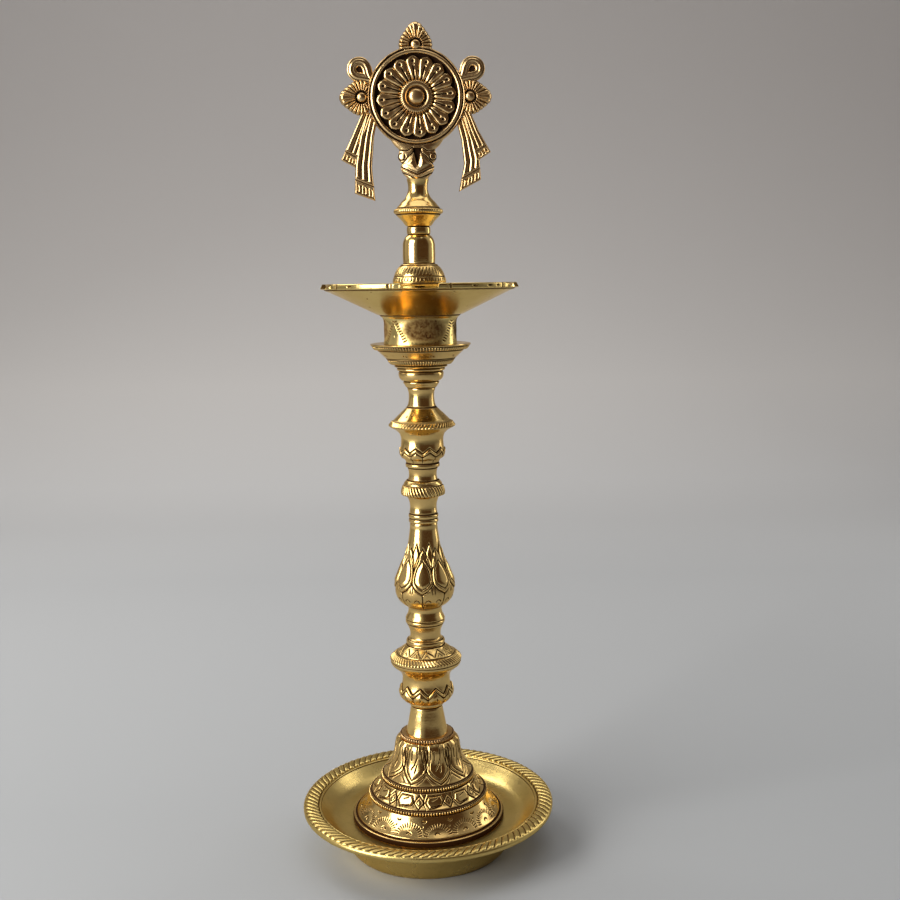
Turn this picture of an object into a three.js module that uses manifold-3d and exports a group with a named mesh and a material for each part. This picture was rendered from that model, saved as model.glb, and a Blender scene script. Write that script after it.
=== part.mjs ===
// A brass standing oil lamp: drip tray, bell foot, turned stem in screwed sections, oil dish
// with five wick lips and a cast wheel finial. Millimetres, +Z up, the lamp's axis is the Z axis,
// its foot stands on z = 0 and the face of the wheel looks towards -Y.

import * as THREE from 'three';
import { mergeVertices } from 'three/addons/utils/BufferGeometryUtils.js';
import Module from 'manifold-3d';

const wasm = await Module();
wasm.setup();

// Driving dimensions

const THREAD_CLEARANCE = 0.3;   // round a stud in its socket
const SOCKET_SPARE = 1.0;       // empty depth under a stud that is screwed home
const STUD_CHAMFER = 0.8;
const SOCKET_WEB = 2.4;         // metal left between two sockets in a short section
const HOLE_CLEARANCE = 0.5;     // round a rod in a plain hole

// Facets round the turned pieces
const SIDES_WIDE = 36;
const SIDES_WHEEL = 28;
const SIDES_STEM = 20;
const SIDES_STUD = 16;
const LOOP_STEPS = 8;

const tray = {
  rimRadius: 71.7, rimHeight: 27.6, rimRoll: 4.4, ropeWidth: 9.0,
  floorTop: 17.0, floorThickness: 3.0, footTaper: 8.0, footWall: 3.0,
};

const bell = {
  footRadius: 43.3, footRing: 3.4, wall: 3.0, crown: 17.3,
  lowTier: 13.6, middleTier: 8.4, upperTier: 20.9, ledgeRing: 2.2,
  lowLedgeRadius: 34.3, highLedgeRadius: 27.0, shoulderRadius: 17.8,
};

const tie = {
  rodRadius: 5.0, rodGap: 1.5, rodOverhang: 2.4,
  nutAcrossFlats: 17.0, nutHeight: 6.5, washerRadius: 14.0, washerThickness: 1.6,
};

const collar = { radius: 15.6, height: 2.7 };

const lowerStem = {
  height: 52.6, footRadius: 12.1, waistRadius: 8.9, waistHeight: 16.0,
  ringRadius: 9.9, ringHeight: 2.8, bowlRadius: 15.4, throatRadius: 13.7,
  discRadius: 20.6, discDrop: 10.0, topRadius: 10.4,
};

const middleStem = {
  height: 69.6, footRadius: 10.9, footRing: 2.6, neckRadius: 8.6, beadRadius: 11.2, beadHeight: 14.1,
  vaseBase: 21.8, vaseRadius: 17.4, vaseWidest: 34.0, topRadius: 7.5,
};

const upperStem = {
  height: 75.0, ringRadius: 8.3, ringHeight: 4.8, knobRadius: 12.4, knobHeight: 17.4,
  waistRadius: 7.7, bowlRing: 9.5, bowlBase: 31.0, bowlRadius: 13.4,
  discRadius: 18.4, discDrop: 20.4, neckRadius: 6.95, topRadius: 7.8,
};

const saucer = {
  height: 24.4, footRadius: 7.9, collarRadius: 12.3, stepRadius: 14.8, lipRadius: 27.5,
  lipThickness: 0.9,
};

const dish = {
  drumRadius: 19.9, drumHeight: 14.6, drumWall: 2.8, coreRadius: 9.5, floorThickness: 4.2,
  rimRadius: 52.8, rimHeight: 32.4, bandHeight: 3.0, bandWidth: 2.2, bossRadius: 14.6, bossHeight: 31.0,
  lips: 5, lipWidth: 19.6, lipDrop: 2.4, lipReach: 1.2, lipThickness: 2.6,
};

const hub = {
  height: 27.1, flangeRadius: 16.0, domeRadius: 14.4, domeTop: 11.4, bottleRadius: 8.7,
  topRadius: 6.1,
};

const finialCollar = { radius: 6.3, height: 4.3 };

const baluster = {
  height: 25.0, footRadius: 6.0, bandRadius: 13.1, bandHeight: 8.0, bandHalf: 2.0,
  neckRadius: 5.1, topRadius: 6.0,
};

const plaque = {
  capitalHeight: 17.4, capitalRadius: 11.0, capitalThickness: 11.0, tenonRadius: 2.6, tenonLength: 8.0,
  wheelRadius: 25.5, wheelRim: 3.2, rimThickness: 6.2, fieldThickness: 3.6,
  bossRingRadius: 8.2, bossRadius: 4.4, bossThickness: 10.4,
  leafThickness: 4.4, leafRoot: 3.0,
  topLeafWidth: 17.8, topLeafHeight: 12.6, sideLeafWidth: 20.0, sideLeafReach: 15.0,
  loopRadius: 6.5, loopStretch: 1.45, loopRoot: 1.2, loopHole: 2.0, loopThickness: 4.0, loopAngle: 26.6,
  tailThickness: 3.4,
};

// Each stud is fixed in the section above its joint and screws into the section below it
const dishStudDown = 12.0;
const studs = {
  lowerStem: { radius: 5.0, down: 10.5, up: 12.0 },
  middleStem: { radius: 5.0, down: 12.0, up: 12.0 },
  upperStem: { radius: 4.0, down: 11.0, up: 11.0 },
  capital: { radius: 4.0, down: 9.0, up: saucer.height - dishStudDown - SOCKET_SPARE - SOCKET_WEB },
  dish: { radius: 5.0, down: dishStudDown, up: 12.0 },
  hub: { radius: 5.0, down: 11.0, up: 9.0 },
  finial: { radius: 3.0, down: 10.0, up: 11.3 },
};

// Heights of the seats, from the ground up

const bellHeight = bell.lowTier + bell.middleTier + bell.upperTier + 2 * bell.ledgeRing;
const trayCeiling = tray.floorTop - tray.floorThickness;

const seat = {};
seat.bell = tray.floorTop;
seat.collar = seat.bell + bellHeight;
seat.lowerStem = seat.collar + collar.height;
seat.middleStem = seat.lowerStem + lowerStem.height;
seat.upperStem = seat.middleStem + middleStem.height;
seat.capital = seat.upperStem + upperStem.height;
seat.dish = seat.capital + saucer.height;
seat.hub = seat.dish + dish.bossHeight;
seat.finial = seat.hub + hub.height;
seat.baluster = seat.finial + finialCollar.height;
seat.plaque = seat.baluster + baluster.height;

// Metals

const looks = {
  satin: { color: 0xb09a52, roughness: 0.42, metalness: 1.0 },
  polished: { color: 0xc9a24a, roughness: 0.26, metalness: 1.0 },
  antique: { color: 0xa8813c, roughness: 0.36, metalness: 1.0 },
  reddish: { color: 0x9a6236, roughness: 0.4, metalness: 1.0 },
  stud: { color: 0xb8944c, roughness: 0.5, metalness: 1.0 },
};

const lamp = new THREE.Group();

function addPiece(name, geometry, height, look) {
  const mesh = new THREE.Mesh(geometry, new THREE.MeshStandardMaterial(looks[look]));
  mesh.name = name;
  mesh.position.z = height;
  lamp.add(mesh);
}

// Turned solids

const { lerp } = THREE.MathUtils;

// Outline points between two ends, each given by its share of the way out and of the way up
const sweep = ([radius, height], [endRadius, endHeight], shares) => shares.map(
  ([out, up]) => [lerp(radius, endRadius, out), lerp(height, endHeight, up)],
);

// The outline runs from the bottom outwards, up and back in: it ends on the axis or closes on itself
function turned(outline, sides) {
  const points = outline.map(([radius, height]) => new THREE.Vector2(radius, height));
  return new THREE.LatheGeometry(points, sides).rotateX(Math.PI / 2);
}

// A turned section that holds its own stud in a blind hole below and takes the next one from above
function turnedSection(outline, height, ownStud, nextStud, sides) {
  const below = ownStud.radius + THREAD_CLEARANCE;
  const above = nextStud.radius + THREAD_CLEARANCE;
  const depth = nextStud.down + SOCKET_SPARE;
  return turned([
    [0, ownStud.up], [below, ownStud.up], [below, 0],
    ...outline,
    [above, height], [above, height - depth], [0, height - depth],
  ], sides);
}

function studGeometry({ radius, down, up }) {
  const tip = radius - STUD_CHAMFER;
  return turned([
    [0, -down], [tip, -down], [radius, STUD_CHAMFER - down],
    [radius, up - STUD_CHAMFER], [tip, up], [0, up],
  ], SIDES_STUD);
}

// Joining and cutting

function toManifold(geometry) {
  const bare = geometry.clone();
  bare.deleteAttribute('normal');
  bare.deleteAttribute('uv');
  const merged = mergeVertices(bare, 1e-4);
  const index = merged.index.array;
  const triangles = [];
  for (let i = 0; i < index.length; i += 3) {
    const [a, b, c] = [index[i], index[i + 1], index[i + 2]];
    if (a !== b && b !== c && c !== a) triangles.push(a, b, c);
  }
  const vertProperties = new Float32Array(merged.attributes.position.array);
  return new wasm.Manifold(new wasm.Mesh({
    numProp: 3, vertProperties, triVerts: new Uint32Array(triangles),
  }));
}

function toGeometry(manifold) {
  const mesh = manifold.getMesh();
  const geometry = new THREE.BufferGeometry();
  geometry.setAttribute('position', new THREE.BufferAttribute(new Float32Array(mesh.vertProperties), 3));
  geometry.setIndex(new THREE.BufferAttribute(new Uint32Array(mesh.triVerts), 1));
  return geometry;
}

const joined = (geometries) => geometries.map(toManifold).reduce((sum, solid) => sum.add(solid));

// An outline in x and z, given thickness along y about the plane y = 0
function plate(outline, thickness, holes = []) {
  const shape = new THREE.Shape(outline.map(([x, z]) => new THREE.Vector2(x, z)));
  shape.holes = holes;
  return new THREE.ExtrudeGeometry(shape, { depth: thickness, bevelEnabled: false })
    .rotateX(Math.PI / 2)
    .translate(0, thickness / 2, 0);
}

// Drip tray: rolled rim round a shallow well, on a tapered foot ring that is hollow underneath

function trayGeometry() {
  const well = tray.rimRadius - tray.ropeWidth;
  const floorEdge = lerp(bell.footRadius, well, 0.45);
  const footTop = floorEdge + 0.9;
  const foot = footTop - tray.footTaper;
  const rodHole = tie.rodRadius + HOLE_CLEARANCE;
  const rollBottom = tray.rimHeight - tray.rimRoll;
  return turned([
    [foot - tray.footWall, 0],
    [foot, 0],
    [footTop, tray.floorTop - 0.5],
    [well + 1.6, rollBottom - 1.2],
    [tray.rimRadius - 1.6, rollBottom],
    [tray.rimRadius, rollBottom + 1.5],
    [tray.rimRadius, tray.rimHeight - 1.6],
    [tray.rimRadius - 1.8, tray.rimHeight - 0.2],
    [tray.rimRadius - tray.ropeWidth / 2, tray.rimHeight],
    [well, tray.rimHeight - 1.4],
    [well - 1.0, tray.rimHeight - 2.4],
    [floorEdge + 1.6, tray.floorTop + 1.2],
    [floorEdge - 1.6, tray.floorTop],
    [rodHole, tray.floorTop],
    [rodHole, trayCeiling],
    [foot + 1.0, trayCeiling],
    [foot - tray.footWall, 0],
  ], SIDES_WIDE);
}

// Bell foot: three concave tiers divided by milled ledges, hollow, with a solid threaded crown

function bellGeometry() {
  const b = bell;
  const bore = tie.rodRadius + THREAD_CLEARANCE;
  const ceiling = bellHeight - b.crown;
  const high = b.lowTier + b.ledgeRing + b.middleTier;
  const skirt = [b.footRadius - 1.4, b.footRing];
  const lowLedge = [b.lowLedgeRadius, b.lowTier];
  const lowShelf = [b.lowLedgeRadius - 2.4, b.lowTier + b.ledgeRing + 0.8];
  const highLedge = [b.highLedgeRadius, high];
  const highShelf = [b.highLedgeRadius - 1.6, high + b.ledgeRing + 0.8];
  const shoulder = [b.shoulderRadius, bellHeight - 2.6];
  return turned([
    [b.footRadius - b.wall, 0],
    [b.footRadius - 0.6, 0],
    [b.footRadius, 0.8],
    [b.footRadius, b.footRing - 0.8],
    skirt,
    ...sweep(skirt, lowLedge, [[0.16, 0.05], [0.58, 0.35], [0.93, 0.68], [1.14, 0.96]]),
    lowLedge,
    [b.lowLedgeRadius, b.lowTier + b.ledgeRing],
    lowShelf,
    ...sweep(lowShelf, highLedge, [[0.47, 0.37], [1.16, 0.92]]),
    highLedge,
    [b.highLedgeRadius, high + b.ledgeRing],
    highShelf,
    ...sweep(highShelf, shoulder, [[0.33, 0.17], [0.68, 0.35], [0.89, 0.58]]),
    shoulder,
    [b.shoulderRadius - 1.2, bellHeight - 0.6],
    [collar.radius, bellHeight],
    [bore, bellHeight],
    [bore, ceiling],
    [b.highLedgeRadius - b.wall - 4.6, ceiling],
    [b.highLedgeRadius - b.wall - 1.2, high],
    [b.lowLedgeRadius - b.wall - 1.8, b.lowTier],
    [b.lowLedgeRadius - b.wall + 1.0, b.lowTier * 0.5],
    [b.footRadius - b.wall - 2.4, b.lowTier * 0.22],
    [b.footRadius - b.wall, 0],
  ], SIDES_WIDE);
}

// Tie rod, washer and nut that hold the bell on the tray, all inside the foot ring and the bell

function rodGeometry(bottom, top) {
  const tip = tie.rodRadius - STUD_CHAMFER;
  return turned([
    [0, bottom], [tip, bottom], [tie.rodRadius, bottom + STUD_CHAMFER],
    [tie.rodRadius, top - STUD_CHAMFER], [tip, top], [0, top],
  ], SIDES_STUD);
}

function washerGeometry() {
  const hole = tie.rodRadius + HOLE_CLEARANCE;
  const { washerRadius, washerThickness } = tie;
  return turned([
    [hole, 0], [washerRadius, 0], [washerRadius, washerThickness], [hole, washerThickness], [hole, 0],
  ], SIDES_STEM);
}

function nutGeometry() {
  const corner = tie.nutAcrossFlats / 2 / Math.cos(Math.PI / 6);
  const shape = new THREE.Shape();
  for (let i = 0; i < 6; i += 1) {
    const angle = (i * Math.PI) / 3;
    shape[i ? 'lineTo' : 'moveTo'](corner * Math.cos(angle), corner * Math.sin(angle));
  }
  const bore = new THREE.Path();
  bore.absarc(0, 0, tie.rodRadius + THREAD_CLEARANCE, 0, 2 * Math.PI, true);
  shape.holes.push(bore);
  return new THREE.ExtrudeGeometry(shape, {
    depth: tie.nutHeight, bevelEnabled: false, curveSegments: SIDES_STUD,
  });
}

// Knurled collar ring between the bell and the stem

function collarGeometry() {
  const hole = studs.lowerStem.radius + THREAD_CLEARANCE;
  const { radius, height } = collar;
  return turned([
    [hole, 0], [radius - 0.4, 0], [radius, 0.5], [radius, height - 0.9], [radius - 0.9, height],
    [hole, height], [hole, 0],
  ], SIDES_STEM);
}

// Lower stem: tapered cone, ring, petal bowl and the flared disc with a gadrooned edge

function lowerStemGeometry() {
  const s = lowerStem;
  const ringTop = s.waistHeight + s.ringHeight;
  const disc = s.height - s.discDrop;
  const rise = (share) => lerp(ringTop, disc, share);
  return turnedSection([
    [s.footRadius, 0],
    [s.footRadius - 0.2, 1.0],
    [s.waistRadius + 1.1, s.waistHeight * 0.63],
    [s.waistRadius, s.waistHeight],
    [s.ringRadius, s.waistHeight + 0.4],
    [s.ringRadius, ringTop],
    [s.bowlRadius - 4.0, rise(0.05)],
    [s.bowlRadius - 1.4, rise(0.16)],
    [s.bowlRadius, rise(0.3)],
    [s.bowlRadius - 0.6, rise(0.4)],
    [s.throatRadius, rise(0.58)],
    [s.throatRadius + 0.6, rise(0.69)],
    [s.discRadius - 4.2, rise(0.79)],
    [s.discRadius - 1.2, rise(0.9)],
    [s.discRadius, disc],
    [s.discRadius - 0.5, disc + 1.6],
    [s.discRadius - 2.2, disc + 3.2],
    [s.topRadius + 3.9, s.height - 3.2],
    [s.topRadius, s.height],
  ], s.height, studs.lowerStem, studs.middleStem, SIDES_STEM);
}

// Middle stem: foot ring, neck with a double bead, petal vase running out into a long neck

function middleStemGeometry() {
  const s = middleStem;
  const beadFoot = [s.beadRadius - 0.8, s.beadHeight - 3.0];
  const beadTop = [s.beadRadius - 0.5, s.beadHeight + 1.5];
  const vaseFoot = [s.vaseRadius - 7.0, s.vaseBase];
  const neckFoot = [s.topRadius + 0.3, s.height - 5.0];
  const widest = [s.vaseRadius, s.vaseWidest];
  return turnedSection([
    [s.footRadius - 0.3, 0],
    [s.footRadius, 0.5],
    [s.footRadius - 0.7, s.footRing],
    [s.neckRadius + 0.3, s.footRing + 0.3],
    [s.neckRadius, lerp(s.footRing, s.beadHeight, 0.23)],
    [s.neckRadius + 0.6, lerp(s.footRing, s.beadHeight, 0.54)],
    beadFoot,
    [s.beadRadius - 0.2, s.beadHeight - 0.6],
    [s.beadRadius - 0.7, s.beadHeight - 0.1],
    [s.beadRadius, s.beadHeight + 0.3],
    beadTop,
    [s.neckRadius + 0.5, lerp(s.beadHeight, s.vaseBase, 0.64)],
    vaseFoot,
    ...sweep(vaseFoot, widest, [[0.44, 0.16], [0.8, 0.48]]),
    widest,
    ...sweep(widest, neckFoot, [[0.06, 0.1], [0.39, 0.33], [0.71, 0.57], [0.9, 0.8]]),
    neckFoot,
    [s.topRadius, s.height],
  ], s.height, studs.middleStem, studs.upperStem, SIDES_STEM);
}

// Upper stem: double ring, gadrooned knob, petal bowl, rope-edged disc and a slender neck

function upperStemGeometry() {
  const s = upperStem;
  const disc = s.height - s.discDrop;
  const bowlFoot = s.bowlBase + 2.3;
  const bowl = (share) => lerp(bowlFoot, disc - 3.0, share);
  const top = (share) => lerp(disc, s.height, share);
  return turnedSection([
    [s.ringRadius - 0.5, 0],
    [s.ringRadius, 0.5],
    [s.ringRadius, s.ringHeight - 0.4],
    [s.waistRadius, s.ringHeight + 0.2],
    [s.waistRadius - 0.1, lerp(s.ringHeight, s.knobHeight, 0.25)],
    [s.waistRadius + 1.4, lerp(s.ringHeight, s.knobHeight, 0.5)],
    [s.knobRadius - 1.4, s.knobHeight - 3.2],
    [s.knobRadius, s.knobHeight],
    [s.knobRadius - 0.2, s.knobHeight + 1.8],
    [s.knobRadius - 1.0, s.knobHeight + 3.6],
    [s.knobRadius - 2.6, s.knobHeight + 5.4],
    [s.waistRadius + 0.3, s.knobHeight + 6.8],
    [s.waistRadius, lerp(s.knobHeight + 6.8, s.bowlBase, 0.44)],
    [s.waistRadius + 0.7, s.bowlBase - 0.4],
    [s.bowlRing, s.bowlBase],
    [s.bowlRing, bowlFoot],
    [s.bowlRadius - 2.0, bowl(0.06)],
    [s.bowlRadius - 0.6, bowl(0.17)],
    [s.bowlRadius, bowl(0.32)],
    [s.bowlRadius - 0.9, bowl(0.6)],
    [s.bowlRadius - 1.0, bowl(0.75)],
    [s.discRadius - 3.8, disc - 3.0],
    [s.discRadius, disc],
    [s.discRadius - 2.2, top(0.12)],
    [s.topRadius + 4.8, top(0.33)],
    [s.topRadius + 0.4, top(0.5)],
    [s.neckRadius, top(0.75)],
    [s.neckRadius + 0.2, top(0.9)],
    [s.topRadius, s.height],
  ], s.height, studs.upperStem, studs.capital, SIDES_STEM);
}

// Saucer capital: stacked collars that widen in steps to the milled lip under the dish

function saucerGeometry() {
  const s = saucer;
  const lipBottom = s.height - s.lipThickness;
  return turnedSection([
    [s.footRadius, 0],
    [s.footRadius + 0.6, 0.5],
    [s.footRadius + 1.9, lipBottom * 0.145],
    [s.collarRadius - 1.8, lipBottom * 0.17],
    [s.collarRadius, lipBottom * 0.28],
    [s.collarRadius - 0.2, lipBottom * 0.395],
    [s.stepRadius - 1.4, lipBottom * 0.46],
    [s.stepRadius, lipBottom * 0.535],
    [s.lipRadius - 8.4, lipBottom * 0.695],
    [s.lipRadius - 3.6, lipBottom * 0.9],
    [s.lipRadius, lipBottom],
    [s.lipRadius, s.height - 0.3],
    [s.lipRadius - 0.5, s.height],
  ], s.height, studs.capital, studs.dish, SIDES_WIDE);
}

// Oil dish: drum, shallow cone, raised rim band cut down at five wick lips, boss for the hub

function dishBodyGeometry() {
  const d = dish;
  const ownBore = studs.dish.radius + THREAD_CLEARANCE;
  const hubBore = studs.hub.radius + THREAD_CLEARANCE;
  const hubDepth = studs.hub.down + SOCKET_SPARE;
  const bandBase = d.rimHeight - d.bandHeight;
  const bandInner = d.rimRadius - d.bandWidth;
  const hollow = d.drumHeight - 1.6;
  const floor = hollow + d.floorThickness;
  return turned([
    [0, studs.dish.up],
    [ownBore, studs.dish.up],
    [ownBore, 0],
    [d.coreRadius, 0],
    [d.coreRadius, hollow],
    [d.drumRadius - d.drumWall, hollow],
    [d.drumRadius - d.drumWall, 0],
    [d.drumRadius + 0.3, 0],
    [d.drumRadius, 1.0],
    [d.drumRadius, d.drumHeight - 2.6],
    [d.drumRadius + 1.9, d.drumHeight],
    [d.rimRadius - 0.6, bandBase],
    [d.rimRadius, bandBase + 0.3],
    [d.rimRadius, d.rimHeight - 0.4],
    [d.rimRadius - 0.5, d.rimHeight],
    [bandInner + 0.3, d.rimHeight],
    [bandInner, d.rimHeight - 0.4],
    [bandInner - 0.4, bandBase + 0.8],
    [d.drumRadius + 0.8, floor],
    [d.bossRadius, floor],
    [d.bossRadius, d.bossHeight],
    [hubBore, d.bossHeight],
    [hubBore, d.bossHeight - hubDepth],
    [0, d.bossHeight - hubDepth],
  ], SIDES_WIDE);
}

function dishGeometry() {
  const d = dish;
  const sill = d.rimHeight - d.lipDrop;
  const tip = d.rimRadius + d.lipReach;
  const root = d.rimRadius - 4.0;
  let solid = toManifold(dishBodyGeometry());
  for (let i = 0; i < d.lips; i += 1) {
    const turn = -Math.PI / 2 + (i * 2 * Math.PI) / d.lips;
    const gap = new THREE.BoxGeometry(2 * (tip - root), d.lipWidth, 2 * d.lipDrop)
      .translate(tip, 0, sill + d.lipDrop)
      .rotateZ(turn);
    const tongueShape = [
      [root, sill - d.lipThickness], [tip, sill - d.lipThickness + 0.6],
      [tip, sill - 0.1], [root, sill - 0.1],
    ];
    const tongue = plate(tongueShape, d.lipWidth * 0.72).rotateZ(turn);
    solid = solid.subtract(toManifold(gap)).add(toManifold(tongue));
  }
  return toGeometry(solid);
}

// Hub: domed flange on the dish's boss and a bottle-shaped socket for the finial

function hubGeometry() {
  const h = hub;
  return turnedSection([
    [h.flangeRadius, 0],
    [h.flangeRadius, 0.8],
    [h.domeRadius, 1.8],
    [h.domeRadius - 0.5, h.domeTop * 0.39],
    [h.domeRadius - 1.3, h.domeTop * 0.65],
    [h.domeRadius - 3.2, h.domeTop * 0.9],
    [h.bottleRadius + 0.8, h.domeTop],
    [h.bottleRadius, h.domeTop + 0.6],
    [h.bottleRadius - 0.2, h.height - 5.0],
    [h.bottleRadius - 1.2, h.height - 1.8],
    [h.topRadius, h.height],
  ], h.height, studs.hub, studs.finial, SIDES_STEM);
}

// Finial: loose collar, turned double cone and the cast wheel with its capital

function finialCollarGeometry() {
  const hole = studs.finial.radius + THREAD_CLEARANCE;
  const { radius, height } = finialCollar;
  return turned([
    [hole, 0], [radius - 0.3, 0], [radius, 0.4], [radius, height - 0.4], [radius - 0.3, height],
    [hole, height], [hole, 0],
  ], SIDES_STEM);
}

function balusterGeometry() {
  const b = baluster;
  const bandTop = b.bandHeight + b.bandHalf;
  const own = { radius: studs.finial.radius, up: studs.finial.up - finialCollar.height };
  const tenon = { radius: plaque.tenonRadius, down: plaque.tenonLength };
  return turnedSection([
    [b.footRadius, 0],
    [b.footRadius + 1.0, 1.0],
    [b.bandRadius - 1.2, b.bandHeight - b.bandHalf],
    [b.bandRadius, b.bandHeight],
    [b.bandRadius - 1.2, bandTop],
    [b.bandRadius - 4.0, lerp(bandTop, b.height, 0.2)],
    [b.neckRadius + 1.1, lerp(bandTop, b.height, 0.43)],
    [b.neckRadius, lerp(bandTop, b.height, 0.67)],
    [b.topRadius, b.height],
  ], b.height, own, tenon, SIDES_STEM);
}

// Lotus capital of the wheel: round where it meets the baluster, flattened towards the wheel
function capitalSolid() {
  const p = plaque;
  const round = turned([
    [0, -p.tenonLength],
    [p.tenonRadius, -p.tenonLength],
    [p.tenonRadius, 0],
    [baluster.topRadius + 0.4, 0],
    [p.capitalRadius - 2.2, p.capitalHeight * 0.32],
    [p.capitalRadius - 1.2, p.capitalHeight * 0.52],
    [p.capitalRadius, p.capitalHeight * 0.79],
    [p.capitalRadius, p.capitalHeight + 0.6],
    [0, p.capitalHeight + 0.6],
  ], SIDES_STEM);
  const slabDepth = 2 * p.capitalRadius;
  const slab = (side) => new THREE.BoxGeometry(4 * p.capitalRadius, slabDepth, 2 * p.capitalHeight)
    .translate(0, side * (p.capitalThickness / 2 + slabDepth / 2), p.capitalHeight);
  return toManifold(round).subtract(toManifold(slab(1))).subtract(toManifold(slab(-1)));
}

// The wheel's double rim, field and boss, alike on both faces
function wheelGeometry() {
  const p = plaque;
  const half = [
    [p.bossRadius * 0.55, p.bossThickness / 2 - 0.6],
    [p.bossRadius, p.fieldThickness / 2 + 1.2],
    [p.bossRingRadius - 1.0, p.fieldThickness / 2 + 1.8],
    [p.bossRingRadius, p.fieldThickness / 2],
    [p.wheelRadius - p.wheelRim, p.fieldThickness / 2],
    [p.wheelRadius - p.wheelRim + 0.6, p.rimThickness / 2 - 0.2],
    [p.wheelRadius - 0.9, p.rimThickness / 2],
    [p.wheelRadius, p.rimThickness / 2 - 0.8],
  ];
  const front = [[0, -p.bossThickness / 2], ...half.map(([radius, y]) => [radius, -y])];
  const back = [...half].reverse();
  const outline = [...front, ...back, [0, p.bossThickness / 2]];
  const points = outline.map(([radius, y]) => new THREE.Vector2(radius, y));
  return new THREE.LatheGeometry(points, SIDES_WHEEL);
}

// A pointed leaf that grows outwards along +Z from the wheel's rim at z = 0
function leafGeometry(width, reach) {
  const half = width / 2;
  const root = -plaque.leafRoot;
  const side = [
    [0.9 * half, root], [half, 0.1 * reach], [0.84 * half, 0.42 * reach], [0.42 * half, 0.8 * reach],
  ];
  const otherSide = side.map(([x, z]) => [-x, z]).reverse();
  return plate([...side, [0, reach], ...otherSide], plaque.leafThickness);
}

// A ring of ribbon that stands on the wheel's rim at z = 0, drawn out towards it
function loopGeometry() {
  const p = plaque;
  const drawnOut = p.loopRadius * p.loopStretch;
  const outline = new THREE.Shape();
  outline.absarc(0, 0, p.loopRadius, 0, Math.PI);
  outline.absellipse(0, 0, p.loopRadius, drawnOut, Math.PI, 2 * Math.PI);
  const hole = new THREE.Path();
  hole.absarc(0, 0, p.loopHole, 0, 2 * Math.PI, true);
  const points = outline.getPoints(LOOP_STEPS).map(({ x, y }) => [x, y]);
  return plate(points, p.loopThickness, [hole]).translate(0, 0, drawnOut - p.loopRoot);
}

// Ribbon tails from the knot at the wheel's rim down to the fringe: outlines in wheel radii from
// the wheel's centre
const leftTails = [
  [[-1.06, -0.35], [-1.19, -0.80], [-1.30, -1.36], [-1.32, -1.96], [-0.98, -2.11], [-0.88, -2.01],
    [-0.93, -1.70], [-0.91, -1.08], [-0.84, -0.47]],
  [[-1.14, -0.31], [-1.39, -0.80], [-1.60, -1.26], [-1.36, -1.42], [-1.23, -1.39], [-1.10, -0.80],
    [-0.94, -0.35]],
];
const rightTails = [
  [[0.83, -0.47], [0.93, -0.96], [0.98, -1.36], [0.94, -1.61], [0.87, -1.88], [0.93, -1.95],
    [1.33, -1.67], [1.30, -1.20], [1.16, -0.75], [1.04, -0.35]],
  [[0.94, -0.35], [1.06, -0.75], [1.22, -1.24], [1.30, -1.29], [1.47, -1.22], [1.55, -1.12],
    [1.31, -0.68], [1.12, -0.31]],
];

function plaqueGeometry() {
  const p = plaque;
  const centre = p.capitalHeight + p.wheelRadius;
  const stand = (geometry, degrees) => geometry
    .translate(0, 0, p.wheelRadius)
    .rotateY(THREE.MathUtils.degToRad(degrees));
  const ornaments = [
    wheelGeometry(),
    stand(leafGeometry(p.topLeafWidth, p.topLeafHeight), 0),
    stand(leafGeometry(p.sideLeafWidth, p.sideLeafReach), 90),
    stand(leafGeometry(p.sideLeafWidth, p.sideLeafReach), -90),
    stand(loopGeometry(), 90 - p.loopAngle),
    stand(loopGeometry(), p.loopAngle - 90),
    ...[...leftTails, ...rightTails].map((outline) => plate(
      outline.map(([x, z]) => [x * p.wheelRadius, z * p.wheelRadius]),
      p.tailThickness,
    )),
  ];
  return toGeometry(joined(ornaments).translate([0, 0, centre]).add(capitalSolid()));
}

// The lamp, from the ground up

const washerBottom = trayCeiling - tie.washerThickness;
const nutBottom = washerBottom - tie.nutHeight;
const rodTop = seat.lowerStem - studs.lowerStem.down - tie.rodGap;

addPiece('base_tray', trayGeometry(), 0, 'satin');
addPiece('bell_foot', bellGeometry(), seat.bell, 'antique');
addPiece('tie_rod', rodGeometry(nutBottom - tie.rodOverhang, rodTop), 0, 'stud');
addPiece('tie_washer', washerGeometry(), washerBottom, 'stud');
addPiece('tie_nut', nutGeometry(), nutBottom, 'stud');
addPiece('collar_ring', collarGeometry(), seat.collar, 'reddish');
addPiece('lower_stem_stud', studGeometry(studs.lowerStem), seat.lowerStem, 'stud');
addPiece('lower_stem', lowerStemGeometry(), seat.lowerStem, 'polished');
addPiece('middle_stem_stud', studGeometry(studs.middleStem), seat.middleStem, 'stud');
addPiece('middle_stem', middleStemGeometry(), seat.middleStem, 'polished');
addPiece('upper_stem_stud', studGeometry(studs.upperStem), seat.upperStem, 'stud');
addPiece('upper_stem', upperStemGeometry(), seat.upperStem, 'polished');
addPiece('capital_stud', studGeometry(studs.capital), seat.capital, 'stud');
addPiece('saucer_capital', saucerGeometry(), seat.capital, 'antique');
addPiece('dish_stud', studGeometry(studs.dish), seat.dish, 'stud');
addPiece('oil_dish', dishGeometry(), seat.dish, 'satin');
addPiece('hub_stud', studGeometry(studs.hub), seat.hub, 'stud');
addPiece('hub', hubGeometry(), seat.hub, 'polished');
addPiece('finial_stud', studGeometry(studs.finial), seat.finial, 'stud');
addPiece('finial_collar', finialCollarGeometry(), seat.finial, 'polished');
addPiece('finial_baluster', balusterGeometry(), seat.baluster, 'polished');
addPiece('wheel_plaque', plaqueGeometry(), seat.plaque, 'antique');

export default lamp;
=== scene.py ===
# A standing brass oil lamp: a roped drip tray, a bell foot, a turned stem in screwed sections, a
# dish with five wick lips and a cast wheel finial. Outlines are in millimetres above the foot of
# each piece, and the pieces are seated where the frame has them.

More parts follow.
